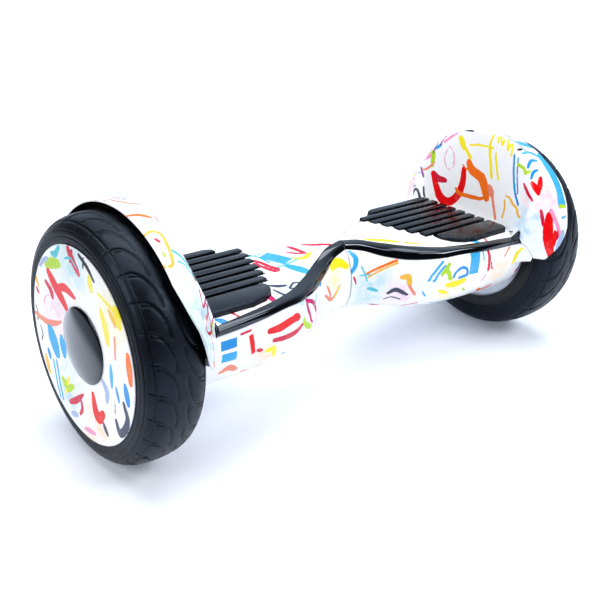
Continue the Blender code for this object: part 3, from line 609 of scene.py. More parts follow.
# kind, colour, half width in mm, then u in mm and angle of each point. Kinds: t is a brush
# stroke that tapers, l is an even line and b is a flat bar with square ends.
RIGHT_PRINT = """
t red 5.8 242,121 239,113 236,103 235,95 238,92 242,92 245,94
t crimson 4.4 242,119 241,112 241,104
t orange 6.2 247,93 245,90 242,88 240,87
t orange 2.6 240,94 239,91 240,88
l orange 1.0 246,96 245,92
t salmon 4.4 243,86 241,84
l salmon 1.7 241,84 238,82 235,80
l amber 1.5 242,72 242,68 241,64 240,58 238,53 237,49
l amber 1.1 241,73 239,72 236,73
t yellow 4.4 253,106 250,100
l yellow 2.2 250,99 249,96 248,93
l yellow 1.5 251,97 252,90 252,85
l yellow 1.5 257,85 253,87 250,87
l yellow 2.0 251,87 248,86 245,85
l yellow 1.5 251,83 248,82 245,80
l yellow 1.4 254,82 260,82 254,79 261,77 253,75 259,73 252,72
t pink 2.5 252,118 254,114 256,110
t lime 4.0 249,130 248,126 244,124
l violet 1.4 249,135 251,143 242,137 239,133
l slate 1.4 247,146 257,155 243,155 232,143
l sky 1.4 239,138 247,149
l slate 1.4 236,131 234,129 233,126
t sky 2.7 250,125 251,120
l pink 0.8 247,113 250,112 248,106 245,102 244,105 245,110 247,113
t slate 1.3 257,106 256,99
t slate 1.1 271,85 272,78
t sky 4.8 268,74 274,71 279,68
l blue 1.3 253,70 248,68 244,64 241,57
l blue 0.9 253,67 248,65 244,61
t black 2.0 257,69 263,68
l sky 5.6 279,60 276,52 274,45 271,38 268,32
t sky 2.4 258,66 268,64 276,59
l lime 2.0 251,66 251,61 250,59 252,57
t blue 2.2 253,59 260,60 266,58
t blue 2.0 250,54 255,55 260,54
t crimson 1.8 247,58 245,52 243,45
t red 3.6 249,52 250,45
t red 3.2 258,50 250,45
l lime 2.2 264,31 271,30
l sky 1.6 263,25 267,25
t red 6.2 254,30 251,22 250,13 252,4
t red 2.5 256,19 254,10
l pink 2.2 256,32 258,25 259,17
t crimson 2.2 248,36 248,26
t crimson 1.7 259,21 257,14
l crimson 1.1 183,67 183,52 180,40
t sky 3.8 152,60 161,60 168,51
l slate 0.7 136,76 142,72 148,67
b sky 7.6 153,24 151,-1
l teal 1.2 165,23 167,4
t crimson 2.5 174,19 177,3 177,-2
l crimson 0.9 181,1 186,-2
l pink 1.1 174,-6 171,-14
l sky 1.5 90,-1 97,5 106,18
l sky 1.5 96,-2 102,3 109,10
t lime 2.8 105,1 110,5 114,12
t lime 2.8 109,5 114,1 118,-2
l blue 1.7 121,0 132,3 141,0 129,-2
t yellow 4.8 114,-9 127,-9 138,-6
t yellow 3.0 106,-16 118,-22
t amber 3.6 61,2 68,2 70,-6
t salmon 1.8 69,-6 79,-21
t slate 2.9 49,-19 57,-13 70,-21
l slate 0.9 48,-32 55,-27 66,-31
t magenta 1.9 236,-18 239,-12
l orange 1.5 19,10 39,18 57,26
l amber 1.1 21,5 40,14 58,22
l pink 1.5 21,94 27,101 38,106 50,104
l pink 1.1 15,89 33,78 51,75
t yellow 2.6 36,69 55,68 73,67
t amber 2.0 78,66 96,64
t sky 3.4 4,48 9,37 7,26 1,17
l teal 1.0 15,22 22,2
l teal 0.8 12,10 27,9
t crimson 1.2 3,11 7,1
t teal 2.2 24,-8 36,-14
l sky 0.9 86,-16 92,-24
t lime 1.4 140,-18 147,-24
t orange 3.4 200,-30 186,-36 176,-30
t teal 3.0 140,-40 128,-46 112,-44
l crimson 1.6 90,-40 80,-52 92,-60
t magenta 3.0 40,-52 54,-60 60,-74
b yellow 5.0 160,-60 180,-66
l slate 1.4 200,-62 206,-80 196,-92
t red 4.4 120,-72 130,-86 148,-92
t mist 2.4 262,84 266,74 264,66
l slate 1.6 228,128 231,140 226,150
t salmon 2.2 234,148 240,156
t mist 3.0 262,18 256,6
t yellow 2.0 230,8 222,-4
l orange 1.3 214,12 206,2
"""
LEFT_PRINT = """
t crimson 2.3 41,95 30,84 13,71
t crimson 2.6 54,102 53,92 51,81
t crimson 1.8 64,92 58,87 51,81
t yellow 3.0 69,85 58,76 47,77
b sky 8.0 86,97 76,85
t sky 5.8 83,82 78,70 70,54
l sky 1.1 108,102 97,99 85,100
l sky 1.2 97,103 93,96 92,90
l sky 0.9 103,95 100,90
l teal 1.3 97,87 82,84 66,81
t crimson 3.0 105,91 100,85 96,86 101,93
t slate 2.9 127,77 120,71 112,66
t slate 2.0 129,69 126,57 121,48
l slate 1.3 111,59 101,61 93,52 102,50 111,58
t magenta 4.2 150,66 143,64 142,50
t magenta 2.0 146,70 150,58
l crimson 1.4 196,60 193,50 190,36
t blue 3.8 215,51 211,45 208,34
b blue 5.2 220,2 201,2
b sky 4.6 219,-2.9 201,-3.7
b red 2.7 184,4 180,-8
l crimson 1.2 196,8 184,9
t crimson 2.4 175,-6 169,-8
t red 4.8 160,2 145,2 130,4 118,5
t red 4.6 124,7 117,4
t crimson 3.3 154,-2 138,-4 122,-4 110,0
t yellow 3.6 162,-11 153,-12 147,-24
t salmon 4.0 217,-19 208,-16 198,-22
t magenta 2.2 100,24 99,8 88,-6
t magenta 2.5 100,22 88,13 81,1
t lime 3.6 107,1 99,-5 90,-11
t yellow 5.4 31,35 18,38 6,28
t salmon 2.3 48,15 40,1
t salmon 2.1 54,6 36,-4 27,1
t blue 1.2 60,28 66,24
t amber 2.0 20,6 30,-4
l teal 1.0 78,20 84,6
l pink 1.1 61,-21 64,-32 70,-42
l amber 1.6 280,66 272,67 266,65 266,61 269,54 273,50 281,50
t crimson 1.7 274,63 272,61
t lime 1.5 275,56 275,54
t salmon 1.9 272,96 266,90 258,87
t orange 2.1 281,79 270,78 262,75
t crimson 1.6 280,104 276,98
l teal 1.9 265,56 258,55 252,52
l teal 1.3 265,51 258,51 250,48
l crimson 1.0 243,40 240,28 238,18
l crimson 0.9 248,22 245,14 244,8
t salmon 3.0 252,6 244,2
l pink 1.2 246,12 243,4
t yellow 3.0 130,120 118,112 112,116
t orange 3.0 186,-32 172,-38 160,-34
t blue 3.4 130,-30 118,-40 104,-38
l slate 1.5 70,-26 60,-34 74,-46
t red 4.0 196,-64 180,-70 170,-84
b teal 4.0 150,-62 136,-70
t amber 4.4 100,-66 84,-78 70,-70
l crimson 1.5 40,-50 52,-62 44,-76
"""
# the same way, with y and height above the axle in mm
DISC_PRINT = """
t crimson 5.4 14,96 5,86 -3,77
t crimson 2.6 6,97 12,84
t black 2.6 -7,97 -22,90 -34,80
t black 1.5 -16,97 -14,86
t lime 6.0 64,64 50,70 36,74
t teal 3.4 33,92 42,82 50,80
l sky 1.6 40,95 54,87
t red 7.0 60,57 46,42 30,26
t red 5.4 42,47 28,50 12,46
t crimson 4.0 68,44 60,38 58,30
t crimson 3.6 32,22 20,24
l pink 0.9 22,59 12,69 2,59 12,49 22,59
l pink 0.9 76,19 65,30 54,19 65,8 76,19
t yellow 5.0 -25,80 -26,68
l yellow 1.7 -40,70 -58,66 -78,60
t yellow 6.5 -42,52 -48,38 -50,24
t yellow 6.0 -70,66 -78,52
t amber 3.0 92,44 86,34
t salmon 3.6 97,-1 72,-2 52,4 40,12
t sky 8.2 68,-8 62,-20 56,-32
t sky 6.6 46,-10 42,-28
t blue 3.0 74,-34 70,-42
t amber 4.2 80,-44 74,-60
l sky 1.7 58,-40 52,-62 46,-80
l sky 1.5 64,-42 58,-64 52,-80
t lime 4.6 46,-56 36,-62 25,-56
t yellow 3.4 34,-50 40,-68
t crimson 3.8 31,-76 18,-68 5,-56
t crimson 2.8 10,-62 6,-72 10,-80
t red 6.6 -15,-47 -21,-62 -29,-66 -37,-58
t slate 3.2 -38,-68 -46,-76
l slate 1.2 -52,-36 -60,-30 -62,-44
t slate 4.2 -64,-52 -72,-62 -86,-42 -80,-26
t blue 5.2 -84,-6 -88,-22
t orange 5.4 -91,28 -94,2
l salmon 2.2 -67,36 -65,14
t sky 4.4 -54,2 -55,-20
t crimson 2.6 90,30 87,26
t amber 3.8 -60,60 -70,50
t mist 5.4 -34,-22 -44,-30 -44,-40
l slate 0.9 95,8 91,0 94,-8
l slate 0.9 88,-12 84,-20 87,-28
t mist 2.6 78,58 70,66 60,72
l teal 1.2 22,84 10,88 0,82
t blue 3.0 -64,-16 -70,-28
l amber 1.2 -6,64 -16,60 -14,48
t mist 3.6 16,-84 28,-88
t pink 3.0 -20,-88 0,-92
"""
# half, colour, radius in mm, u in mm, angle
WASHES = (
    ("right", "yellow", 22, 60, 72), ("right", "yellow", 18, 110, 62),
    ("right", "sky", 26, 238, 30), ("right", "amber", 20, 200, -8),
    ("right", "pink", 24, 60, -20), ("right", "teal", 26, 30, -12),
    ("right", "yellow", 20, 120, -22), ("right", "pink", 22, 252, 40),
    ("right", "sky", 24, 40, 120), ("right", "pink", 24, 160, 150),
    ("right", "lime", 20, 200, 200),
    ("left", "teal", 34, 262, 30), ("left", "pink", 22, 80, -20), ("left", "yellow", 22, 30, 20),
    ("left", "lime", 20, 84, 74), ("left", "sky", 24, 110, 40), ("left", "amber", 18, 160, -14),
    ("left", "pink", 20, 266, 80), ("left", "yellow", 22, 120, 120), ("left", "sky", 26, 60, 160),
    ("left", "amber", 22, 200, 170),
)
# colour, y and height above the axle in mm
DISC_WASHES = (("yellow", -60, 50), ("pink", 50, 10), ("sky", 30, -60), ("amber", -20, -80),
               ("teal", 10, 80))
DISC_WASH_RADIUS = 0.026


def read_strokes(text):
    strokes = []
    for line in text.strip().split("\n"):
        kind, colour, width, *path = line.split()
        strokes.append((kind, colour, float(width) / 1000,
                        [tuple(float(v) for v in point.split(",")) for point in path]))
    return strokes


def next_ink(colour, steps):
    """The ink some steps on in the list, going round and leaving out the last one, black."""
    return INK_ORDER[(INK_ORDER.index(colour) + steps) % (len(INK_ORDER) - 1)]


def behind(strokes, ink_steps):
    """Strokes for the back of a half: those of its front, turned over in other colours."""
    turned = []
    for kind, colour, width, path in strokes:
        if max(angle for _, angle in path) < 64:
            turned.append((kind, next_ink(colour, ink_steps), width,
                           [(u - 3 + 0.02 * angle, 180 - angle) for u, angle in path]))
    return turned


def on_the_wall(strokes, ink_steps):
    """Strokes of one fender's inner wall, turned over for the other fender's."""
    return [(kind, next_ink(colour, ink_steps), width, [(u, 178 - angle) for u, angle in path])
            for kind, colour, width, path in strokes
            if min(u for u, _ in path) >= 230 and max(angle for _, angle in path) > 75]


def smooth_path(path):
    """More points along a path, on a smooth curve through its own."""
    points = np.array(path, float)
    if len(points) == 2:
        return points[0] + (points[1] - points[0]) * np.linspace(0, 1, 7)[:, None]
    ends = [2 * points[0] - points[1]], [2 * points[-1] - points[-2]]
    if np.allclose(points[0], points[-1]):
        ends = [points[-2]], [points[1]]
    padded = np.concatenate([ends[0], points, ends[1]])
    out = []
    for a, b, c, d in zip(padded, padded[1:], padded[2:], padded[3:]):
        for t in np.linspace(0, 1, 6, endpoint=False):
            out.append(0.5 * (2 * b + (c - a) * t + (2 * a - 5 * b + 4 * c - d) * t ** 2
                              + (3 * b - a - 3 * c + d) * t ** 3))
    return np.array(out + [points[-1]])


def laid_on(strokes, to_world):
    """Strokes with their paths smoothed and turned into points in the world."""
    return [(kind, colour, width, to_world(*smooth_path(path).T))
            for kind, colour, width, path in strokes]


def stroke_distance(points, kind, width, path):
    """Which points are near a stroke, and their distance from its edge."""
    reach = PRINT_REACH + width
    inside = (points > path.min(0) - reach) & (points < path.max(0) + reach)
    near = np.nonzero(np.all(inside, 1))[0]
    p = points[near]
    if kind == "b":
        middle = (path[0] + path[-1]) / 2
        along = path[-1] - path[0]
        half_length = np.linalg.norm(along) / 2
        along = along / (2 * half_length)
        offset = p - middle
        run = offset @ along
        across = np.linalg.norm(offset - run[:, None] * along, axis=1)
        return near, np.maximum(np.abs(run) - half_length, across - width)
    best = np.full(len(near), PRINT_REACH)
    share = np.linspace(0, 1, len(path))
    radii = width * (0.45 + 0.55 * np.sin(math.pi * (0.12 + 0.76 * share)))
    if kind == "l":
        radii = np.full(len(path), width)
    for a, b, r_a, r_b in zip(path[:-1], path[1:], radii[:-1], radii[1:]):
        ab = b - a
        t = np.clip((p - a) @ ab / max(ab @ ab, 1e-12), 0, 1)
        distance = np.linalg.norm(p - (a + t[:, None] * ab), axis=1) - (r_a + (r_b - r_a) * t)
        best = np.minimum(best, distance)
    return near, best


def store_colours(mesh, name, colours, alpha):
    layer = mesh.attributes.new(name, "FLOAT_COLOR", "POINT")
    layer.data.foreach_set("color", np.concatenate([colours, alpha[:, None]], 1).ravel())


def paint(mesh, strokes, washes):
    """Writes the print's attributes on a mesh. strokes are (kind, colour, width, world path).
    A stroke goes in the lowest layer where no other colour comes near it, above those it
    crosses, so that a colour never changes inside a stroke."""
    count = len(mesh.vertices)
    points = np.empty(count * 3)
    mesh.vertices.foreach_get("co", points)
    points = points.reshape(-1, 3)
    distance = np.full((PRINT_LAYERS, count), PRINT_REACH)
    owner = np.full((PRINT_LAYERS, count), -1)
    colours = np.ones((PRINT_LAYERS, count, 3))
    for kind, colour, width, path in strokes:
        ink = INK_ORDER.index(colour)
        near, edge = stroke_distance(points, kind, width, path)
        close = near[edge < PRINT_MARGIN]
        layer = 0
        for k in range(PRINT_LAYERS):
            taken = (distance[k, close] < PRINT_MARGIN) & (owner[k, close] != ink)
            if taken.any():
                layer = min(k + 1, PRINT_LAYERS - 1)
        nearer = edge < distance[layer, near]
        chosen = near[nearer]
        distance[layer, chosen] = edge[nearer]
        owner[layer, chosen] = ink
        colours[layer, chosen] = linear(*INKS[colour])[:3]
    for k in range(PRINT_LAYERS):
        store_colours(mesh, "print_%d" % k, colours[k], distance[k] * 1000)
    tint = np.ones((count, 3))
    strength = np.zeros(count)
    for colour, radius, centre in washes:
        fall = WASH_STRENGTH * np.exp(-np.sum((points - centre) ** 2, 1) / radius ** 2)
        stronger = fall > strength
        tint[stronger] = linear(*INKS[colour])[:3]
        strength = np.maximum(strength, fall)
    store_colours(mesh, "print_wash", tint, strength)


def half_print(label, side):
    """Strokes and washes of one half, as paths in the world."""
    right, left = read_strokes(RIGHT_PRINT), read_strokes(LEFT_PRINT)
    if side > 0:
        strokes = right + behind(right, 3)
    else:
        strokes = left + behind(left, 5) + on_the_wall(right, 4)

    def to_world(u, angle):
        return surface(side, u / 1000, angle)

    washes = [(colour, radius / 1000, to_world(np.array([u]), np.array([angle]))[0])
              for half, colour, radius, u, angle in WASHES if half == label]
    return laid_on(strokes, to_world), washes


# ---- shells and trim ----
def pad_outline(side, grow=0.0):
    """Plan of the foot pad, grown by a margin."""
    corner_u = PAD_OUTER_U - 0.005
    points = [(PAD_OUTER_U + grow, -0.064), (corner_u, -0.072 - grow), (0.168, -0.072 - grow),
              (0.150, -0.0685 - grow), (0.138 - grow / 2, -0.061 - grow),
              (PAD_FRONT_U - grow, -0.050)]
    half = RIB_WIDTH / 2 + grow
    points.append((PAD_FRONT_U - grow, RIB_FIRST_Y - RIB_PITCH + half))
    before = PAD_FRONT_U
    for k, inner in enumerate(RIB_INNER_U):
        y = RIB_FIRST_Y + RIB_PITCH * k
        step = before + RIB_STEP - grow
        points += [(step, y - RIB_PITCH + half)] if k else []
        points += [(step, y - half), (inner - grow, y - half), (inner - grow, y + half)]
        before = inner
    points += [(PAD_REAR_U - grow, y + half), (PAD_REAR_U - grow, 0.0685),
               (0.132 - grow / 2, 0.073 + grow), (corner_u, 0.073 + grow),
               (PAD_OUTER_U + grow, 0.065)]
    cleaned = [points[0]]
    for point in points[1:]:
        if math.dist(point, cleaned[-1]) > 0.0002:
            cleaned.append(point)
    return [(side * u, y) for u, y in cleaned]


EDGE_STEPS = np.array([0.0, 0.00015, 0.0005])
EDGE_DROP = (0.0005, 0.00015, 0.0)
INNER_SKIN_STEP = 5
UPPER_COLUMNS = 290
LOWER_COLUMNS = 210
STRIP_HEIGHT = 0.0020
STRIP_CREST = 0.42
STRIP_THICKNESS = 0.0022


def stations(*spans):
    """Values of u over consecutive (start, end, step) spans, closer together at both ends."""
    values = np.concatenate([np.arange(start, end, step) for start, end, step in spans])
    first, last = spans[0][0], spans[-1][1]
    inside = values[(values > first + 0.0008) & (values < last - 0.0008)]
    return np.concatenate([first + EDGE_STEPS, inside, last - EDGE_STEPS[::-1]])


def even_grid(u, start, end, columns, side):
    """Points between two edge angles, evenly spaced over the surface in each row."""
    grid = np.empty((len(u), columns, 3))
    for row, (at, low, high) in enumerate(zip(u, start, end)):
        fine = np.linspace(low, high, 1200)
        points = surface(side, np.full(len(fine), at), fine)
        run = np.concatenate([[0], np.cumsum(np.linalg.norm(np.diff(points, axis=0), axis=1))])
        middle = np.linspace(0.0013, run[-1] - 0.0013, columns - 2 * len(EDGE_STEPS))
        wanted = np.concatenate([EDGE_STEPS, middle, run[-1] - EDGE_STEPS[::-1]])
        grid[row] = surface(side, np.full(columns, at), np.interp(wanted, run, fine))
    return grid


def moulding(name, points, thickness):
    """A closed shell: a fine outer skin with rounded edges, a coarser inner skin, and the rim
    between them. thickness has one value for each row."""
    rows, columns = points.shape[:2]
    normal = np.cross(np.gradient(points, axis=0), np.gradient(points, axis=1))
    normal /= np.linalg.norm(normal, axis=2)[..., None] + 1e-12
    outward = points - np.array([0.0, 0.0, WAIST_Z])
    outward[..., 0] = 0
    if np.sum(normal * outward) < 0:
        normal = -normal
    drop = np.zeros((rows, columns))
    for k, depth in enumerate(EDGE_DROP):
        for edge in (drop[k], drop[-1 - k], drop[:, k], drop[:, -1 - k]):
            np.maximum(edge, depth, out=edge)
    outer = points - normal * drop[..., None]
    row_ids, column_ids = (
        np.unique([0, *range(3, count - 3, INNER_SKIN_STEP), count - 1])
        for count in (rows, columns))
    inner = (points - normal * thickness[:, None, None])[np.ix_(row_ids, column_ids)]
    index = np.arange(rows * columns).reshape(rows, columns)
    inside = np.arange(len(row_ids) * len(column_ids)).reshape(inner.shape[:2]) + rows * columns
    faces = quads_over(index).tolist()
    for near, far, ids in (
            (index[0], inside[0], column_ids), (index[-1], inside[-1], column_ids),
            (index[:, 0], inside[:, 0], row_ids), (index[:, -1], inside[:, -1], row_ids)):
        for k in range(len(ids) - 1):
            faces.append(near[ids[k]:ids[k + 1] + 1].tolist() + [int(far[k + 1]), int(far[k])])
    outside_count = len(faces)
    faces += quads_over(inside)[:, (0, 3, 2, 1)].tolist()
    vertices = np.concatenate([outer.reshape(-1, 3), inner.reshape(-1, 3)])
    mesh = bpy.data.meshes.new(name)
    mesh.from_pydata(vertices.tolist(), [], faces)
    # The inner skin takes INSIDE, near black as painted shade; the outer skin and its rim take the
    # print.
    obj = add_object(name, mesh, PRINTED, INSIDE)
    is_inside = np.arange(len(faces)) >= outside_count
    mesh.polygons.foreach_set("material_index", is_inside.astype(np.int32))
    face_outwards(mesh)
    shade(mesh, 50)
    return obj


def upper_shell(label, side, strokes, washes):
    u = stations((SEAM_U, 0.205, 0.00135), (0.205, 0.2278, 0.0012), (0.2278, 0.2296, 0.0003),
                 (0.2296, 0.256, 0.0006), (0.256, FENDER_EDGE_U, 0.001))
    points = even_grid(u, upper_edge(u, "front"), 180 - upper_edge(u, "rear"), UPPER_COLUMNS,
                       side)
    thickness = SHELL - 0.0016 * smooth_step((u - 0.268) / 0.012)
    obj = moulding(label + "_upper_moulding", points, thickness)
    window = prism(label + "_window", pad_outline(side, 0.0008), 0.135, 0.175)
    boolean(obj, [window], "DIFFERENCE")
    paint(obj.data, strokes, washes)
    place(obj, label + "_half", [label + "_upper_shell"], "shell")


SCREW_PLACES = ((0.045, -90), (0.095, -62), (0.095, -118), (0.150, -52), (0.150, -128),
                (0.215, -50), (0.215, -130), (0.190, -90))
# how the lower shell's end wall closes: further along u, and share of the way to the axle
END_WALL = ((0.0009, 0.003), (0.0014, 0.012), (0.0015, 0.05), (0.0015, 0.20), (0.0015, 0.45),
            (0.0015, 0.60), (0.0015, 0.605), (0.0015, 0.61))


def lower_shell(label, side, strokes, washes):
    u = stations((SEAM_U, 0.205, 0.0015), (0.205, LOWER_END_U - 0.0015, 0.0012))
    points = even_grid(u, lower_edge(u, "front"), -180 - lower_edge(u, "rear"), LOWER_COLUMNS,
                       side)
    last = points[-1]
    closing = []
    for grow_u, share in END_WALL:
        row = last.copy()
        row[:, 0] += side * grow_u
        row[:, 1] *= 1 - share
        row[:, 2] += (AXLE_Z - row[:, 2]) * share
        closing.append(row)
    points = np.concatenate([points, np.array(closing)])
    obj = moulding(label + "_lower_moulding", points, np.full(len(points), SHELL))
    tools = []
    for place_u, angle in SCREW_PLACES:
        centre, normal = surface_frame(side, place_u, angle)
        tools.append(drill(0.0043, 0.002, -0.0022, centre, normal, 24))
        screw(label, side, place_u, angle)
    if side > 0:
        tools += control_holes()
    boolean(obj, tools, "DIFFERENCE")
    paint(obj.data, strokes, washes)
    place(obj, label + "_half", [label + "_lower_shell"], "shell")


def surface_frame(side, u, angle):
    """A point on the moulding and its outward normal."""
    us = np.array([u, u + 0.001, u])
    angles = np.array([angle, angle, angle + 0.5], float)
    here, along, round_it = surface(side, us, angles)
    normal = np.cross(along - here, round_it - here)
    outward = np.array([0.0, here[1], here[2] - WAIST_Z])
    if normal @ outward < 0:
        normal = -normal
    return Vector(here), Vector(normal).normalized()


def screw(label, side, u, angle):
    """A small pan-head screw with a cross recess at the bottom of its counterbore."""
    centre, normal = surface_frame(side, u, angle)
    name = "%s_shell_screw_%d_%d" % (label, round(u * 1000), -angle)
    seat = centre - normal * 0.0021
    obj = lathe(name, [(0.0, 0.0016), (0.0016, 0.00155), (0.0026, 0.0012), (0.0031, 0.0006),
                       (0.0031, 0.0), (0.0, 0.0)], (0, 0, 0), (0, 0, 1), 24, ZINC)
    slots = []
    for turn in (0.4, 0.4 + math.pi / 2):
        c, s = math.cos(turn), math.sin(turn)
        outline = [(a * c - b * s, a * s + b * c) for a, b in rectangle(0.0017, -0.0003, 0.0003)]
        slots.append(prism("recess", outline, 0.0007, 0.0030))
    boolean(obj, slots, "DIFFERENCE")
    turn = Vector((0, 0, 1)).rotation_difference(normal).to_matrix().to_4x4()
    obj.data.transform(Matrix.Translation(seat) @ turn)
    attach(obj, label + "_half")


def trim_strip(label, side, where):
    """Glossy strip with a soft crest along its middle."""
    u = np.concatenate([np.linspace(SEAM_U, 0.200, 110), np.linspace(0.202, TRIM_END_U, 16)])
    if where == "front":
        low, high = curve_at(u, TRIM_U, TRIM_LOW), curve_at(u, TRIM_U, TRIM_TOP)
    else:
        low = np.full(len(u), 180 - REAR_TRIM_TOP)
        high = np.full(len(u), 180 - REAR_TRIM_LOW)
    share = np.linspace(0, 1, 19)
    angles = low[:, None] + (high - low)[:, None] * share
    grid_u = np.repeat(u[:, None], len(share), axis=1)
    points = surface(side, grid_u, angles)
    ahead = surface(side, grid_u, angles + 0.3) - points
    next_u = np.minimum(grid_u + 0.0005, 0.2290)
    along = surface(side, next_u, angles) - surface(side, next_u - 0.0005, angles)
    normal = np.cross(along, ahead) * side
    normal /= np.linalg.norm(normal, axis=2)[..., None]
    if np.sum(normal[..., 1] * points[..., 1]) < 0:
        normal = -normal
    crest = np.minimum(share / STRIP_CREST, (1 - share) / (1 - STRIP_CREST))
    crest = 0.88 * np.minimum(crest, 0.90) / 0.90 + 0.12 * smooth_step(crest)
    points = points + normal * (0.0004 + STRIP_HEIGHT * crest)[None, :, None]
    name = "%s_%s_strip" % (label, where)
    obj = add_object(name, grid_mesh(name, points, flip=side > 0), PIANO_BLACK)
    mod = obj.modifiers.new("thickness", "SOLIDIFY")
    mod.thickness = STRIP_THICKNESS
    mod.offset = -1.0
    add_bevel(obj, 0.0004)
    bake_modifiers(obj)
    place(obj, label + "_half", ["%s_%s_trim" % (label, where)], "gloss_black")


# ---- foot pads ----
def rounded_bar(outer, inner, low_y, high_y, chamfer):
    """Plan of one rib, chamfered at its inner end."""
    return [(outer, low_y), (outer, high_y), (inner + chamfer, high_y),
            (inner, high_y - chamfer), (inner, low_y + chamfer), (inner + chamfer, low_y)]


def foot_pad(label, side):
    name = label + "_pad_rubber"
    corner_u = PAD_OUTER_U - 0.005
    obj = prism(name, pad_outline(side), PAD_BOTTOM, PAD_BASE_TOP, PAD_RUBBER)
    bars = [
        [(PAD_OUTER_U, -0.0400), (PAD_OUTER_U, -0.064), (corner_u, -0.072), (0.168, -0.072),
         (0.158, -0.0705), (0.150, -0.0680), (0.143, -0.0645), (0.138, -0.061),
         (0.1335, -0.0555), (0.1310, -0.050), (PAD_FRONT_U, -0.0440), (0.1330, -0.0400)],
        [(PAD_OUTER_U, 0.0615), (PAD_OUTER_U, 0.065), (corner_u, 0.073), (0.132, 0.073),
         (0.1255, 0.0712), (0.1205, 0.0680), (PAD_REAR_U, 0.0615)]]
    half = RIB_WIDTH / 2
    for k, inner in enumerate(RIB_INNER_U):
        y = RIB_FIRST_Y + RIB_PITCH * k
        bars.append(rounded_bar(PAD_OUTER_U, inner, y - half, y + half, 0.0022))
    tools = []
    for k, bar in enumerate(bars):
        tool = prism("%s_bar_%d" % (name, k), [(side * u, y) for u, y in bar],
                     PAD_BASE_TOP - 0.001, PAD_TOP)
        add_bevel(tool, 0.0011, 3, 30)
        bake_modifiers(tool)
        tools.append(tool)
    add_bevel(obj, 0.0005, 1, 50)
    bake_modifiers(obj)
    boolean(obj, tools, "UNION")
    obj.data.set_sharp_from_angle(angle=math.radians(32))
    place(obj, label + "_pad", [label + "_foot_pad"], "pad_rubber")


# ---- wheels ----
TREAD_REPEATS = 27
TREAD_STEPS = 864
SHOULDER_LINE = 0.0262
SIPE_END = 0.0055
GROOVE_DEPTH = 0.0010
FAR_FROM_GROOVE = 0.01
# where each sipe starts, as a share of the repeat, where it leaves the shoulder and its reach
SIPES = ((0.0, SHOULDER_LINE, 1.35), (-0.17, SHOULDER_LINE - 0.003, 1.12))
SIDEWALL_RINGS = (0.1062, 0.1085, 0.1140)
# (radius, across)
SIDEWALL = ((0.0962, 0.0305), (0.0966, 0.0322), (0.0990, 0.0327), (0.0994, 0.0335),
            (0.1003, 0.0336), (0.1010, 0.0329), (0.1014, 0.0329), (0.1022, 0.0335),
            (0.1029, 0.03355))
TYRE_INSIDE = ((0.0962, -0.0215), (0.1010, -0.0272), (0.1080, -0.0270), (0.1170, -0.0120),
               (0.1180, 0.0), (0.1170, 0.0120), (0.1080, 0.0270), (0.1010, 0.0272),
               (0.0962, 0.0215))
CROWN_RADIUS = 0.104
CROWN_POWER = 2.65


def tread_lines():
    """Centre lines of the tread's grooves in one repeat, as (share of the repeat, across in m,
    half width in m). Positive across is the outboard shoulder. Each sipe leaves the shoulder
    line square to it and bends round to follow the middle of the tread."""
    lines = []
    for flip in (1, -1):
        for start, outer, reach in SIPES:
            turn = np.linspace(0, math.pi / 2, 14)
            across = SIPE_END + (outer - SIPE_END) * (1 - np.sin(turn))
            run = start - reach * (1 - np.cos(turn))
            width = np.interp(turn, (0.0, 0.5, math.pi / 2), (0.0008, 0.0010, 0.0005))
            lines.append((flip * run, flip * across, width))
        run = np.array([0.05, 0.0, -0.17])
        lines.append((flip * run[:2], flip * np.array([SHOULDER_LINE + 0.0035, SHOULDER_LINE]),
                      np.array([0.0006, 0.0008])))
        lines.append((flip * (run[1:] - 0.02), flip * np.full(2, SHOULDER_LINE - 0.003),
                      np.array([0.0008, 0.0008])))
    return lines


def groove_distance(run, across):
    """Distance in metres from each point of the tread to the nearest groove's edge. run is in
    repeats."""
    pitch = 2 * math.pi * TYRE_RADIUS / TREAD_REPEATS
    best = np.full(run.shape, FAR_FROM_GROOVE)
    for runs, sides, widths in tread_lines():
        for shift in (-2, -1, 0, 1, 2):
            for k in range(len(runs) - 1):
                ax, bx = (runs[k] + shift) * pitch, (runs[k + 1] + shift) * pitch
                dx, dy = bx - ax, sides[k + 1] - sides[k]
                px, py = run * pitch - ax, across - sides[k]
                t = np.clip((px * dx + py * dy) / (dx * dx + dy * dy), 0, 1)
                width = widths[k] + (widths[k + 1] - widths[k]) * t
                best = np.minimum(best, np.hypot(px - t * dx, py - t * dy) - width)
    for line in (SHOULDER_LINE, -SHOULDER_LINE):
        best = np.minimum(best, np.abs(across - line) - 0.0007)
    return best


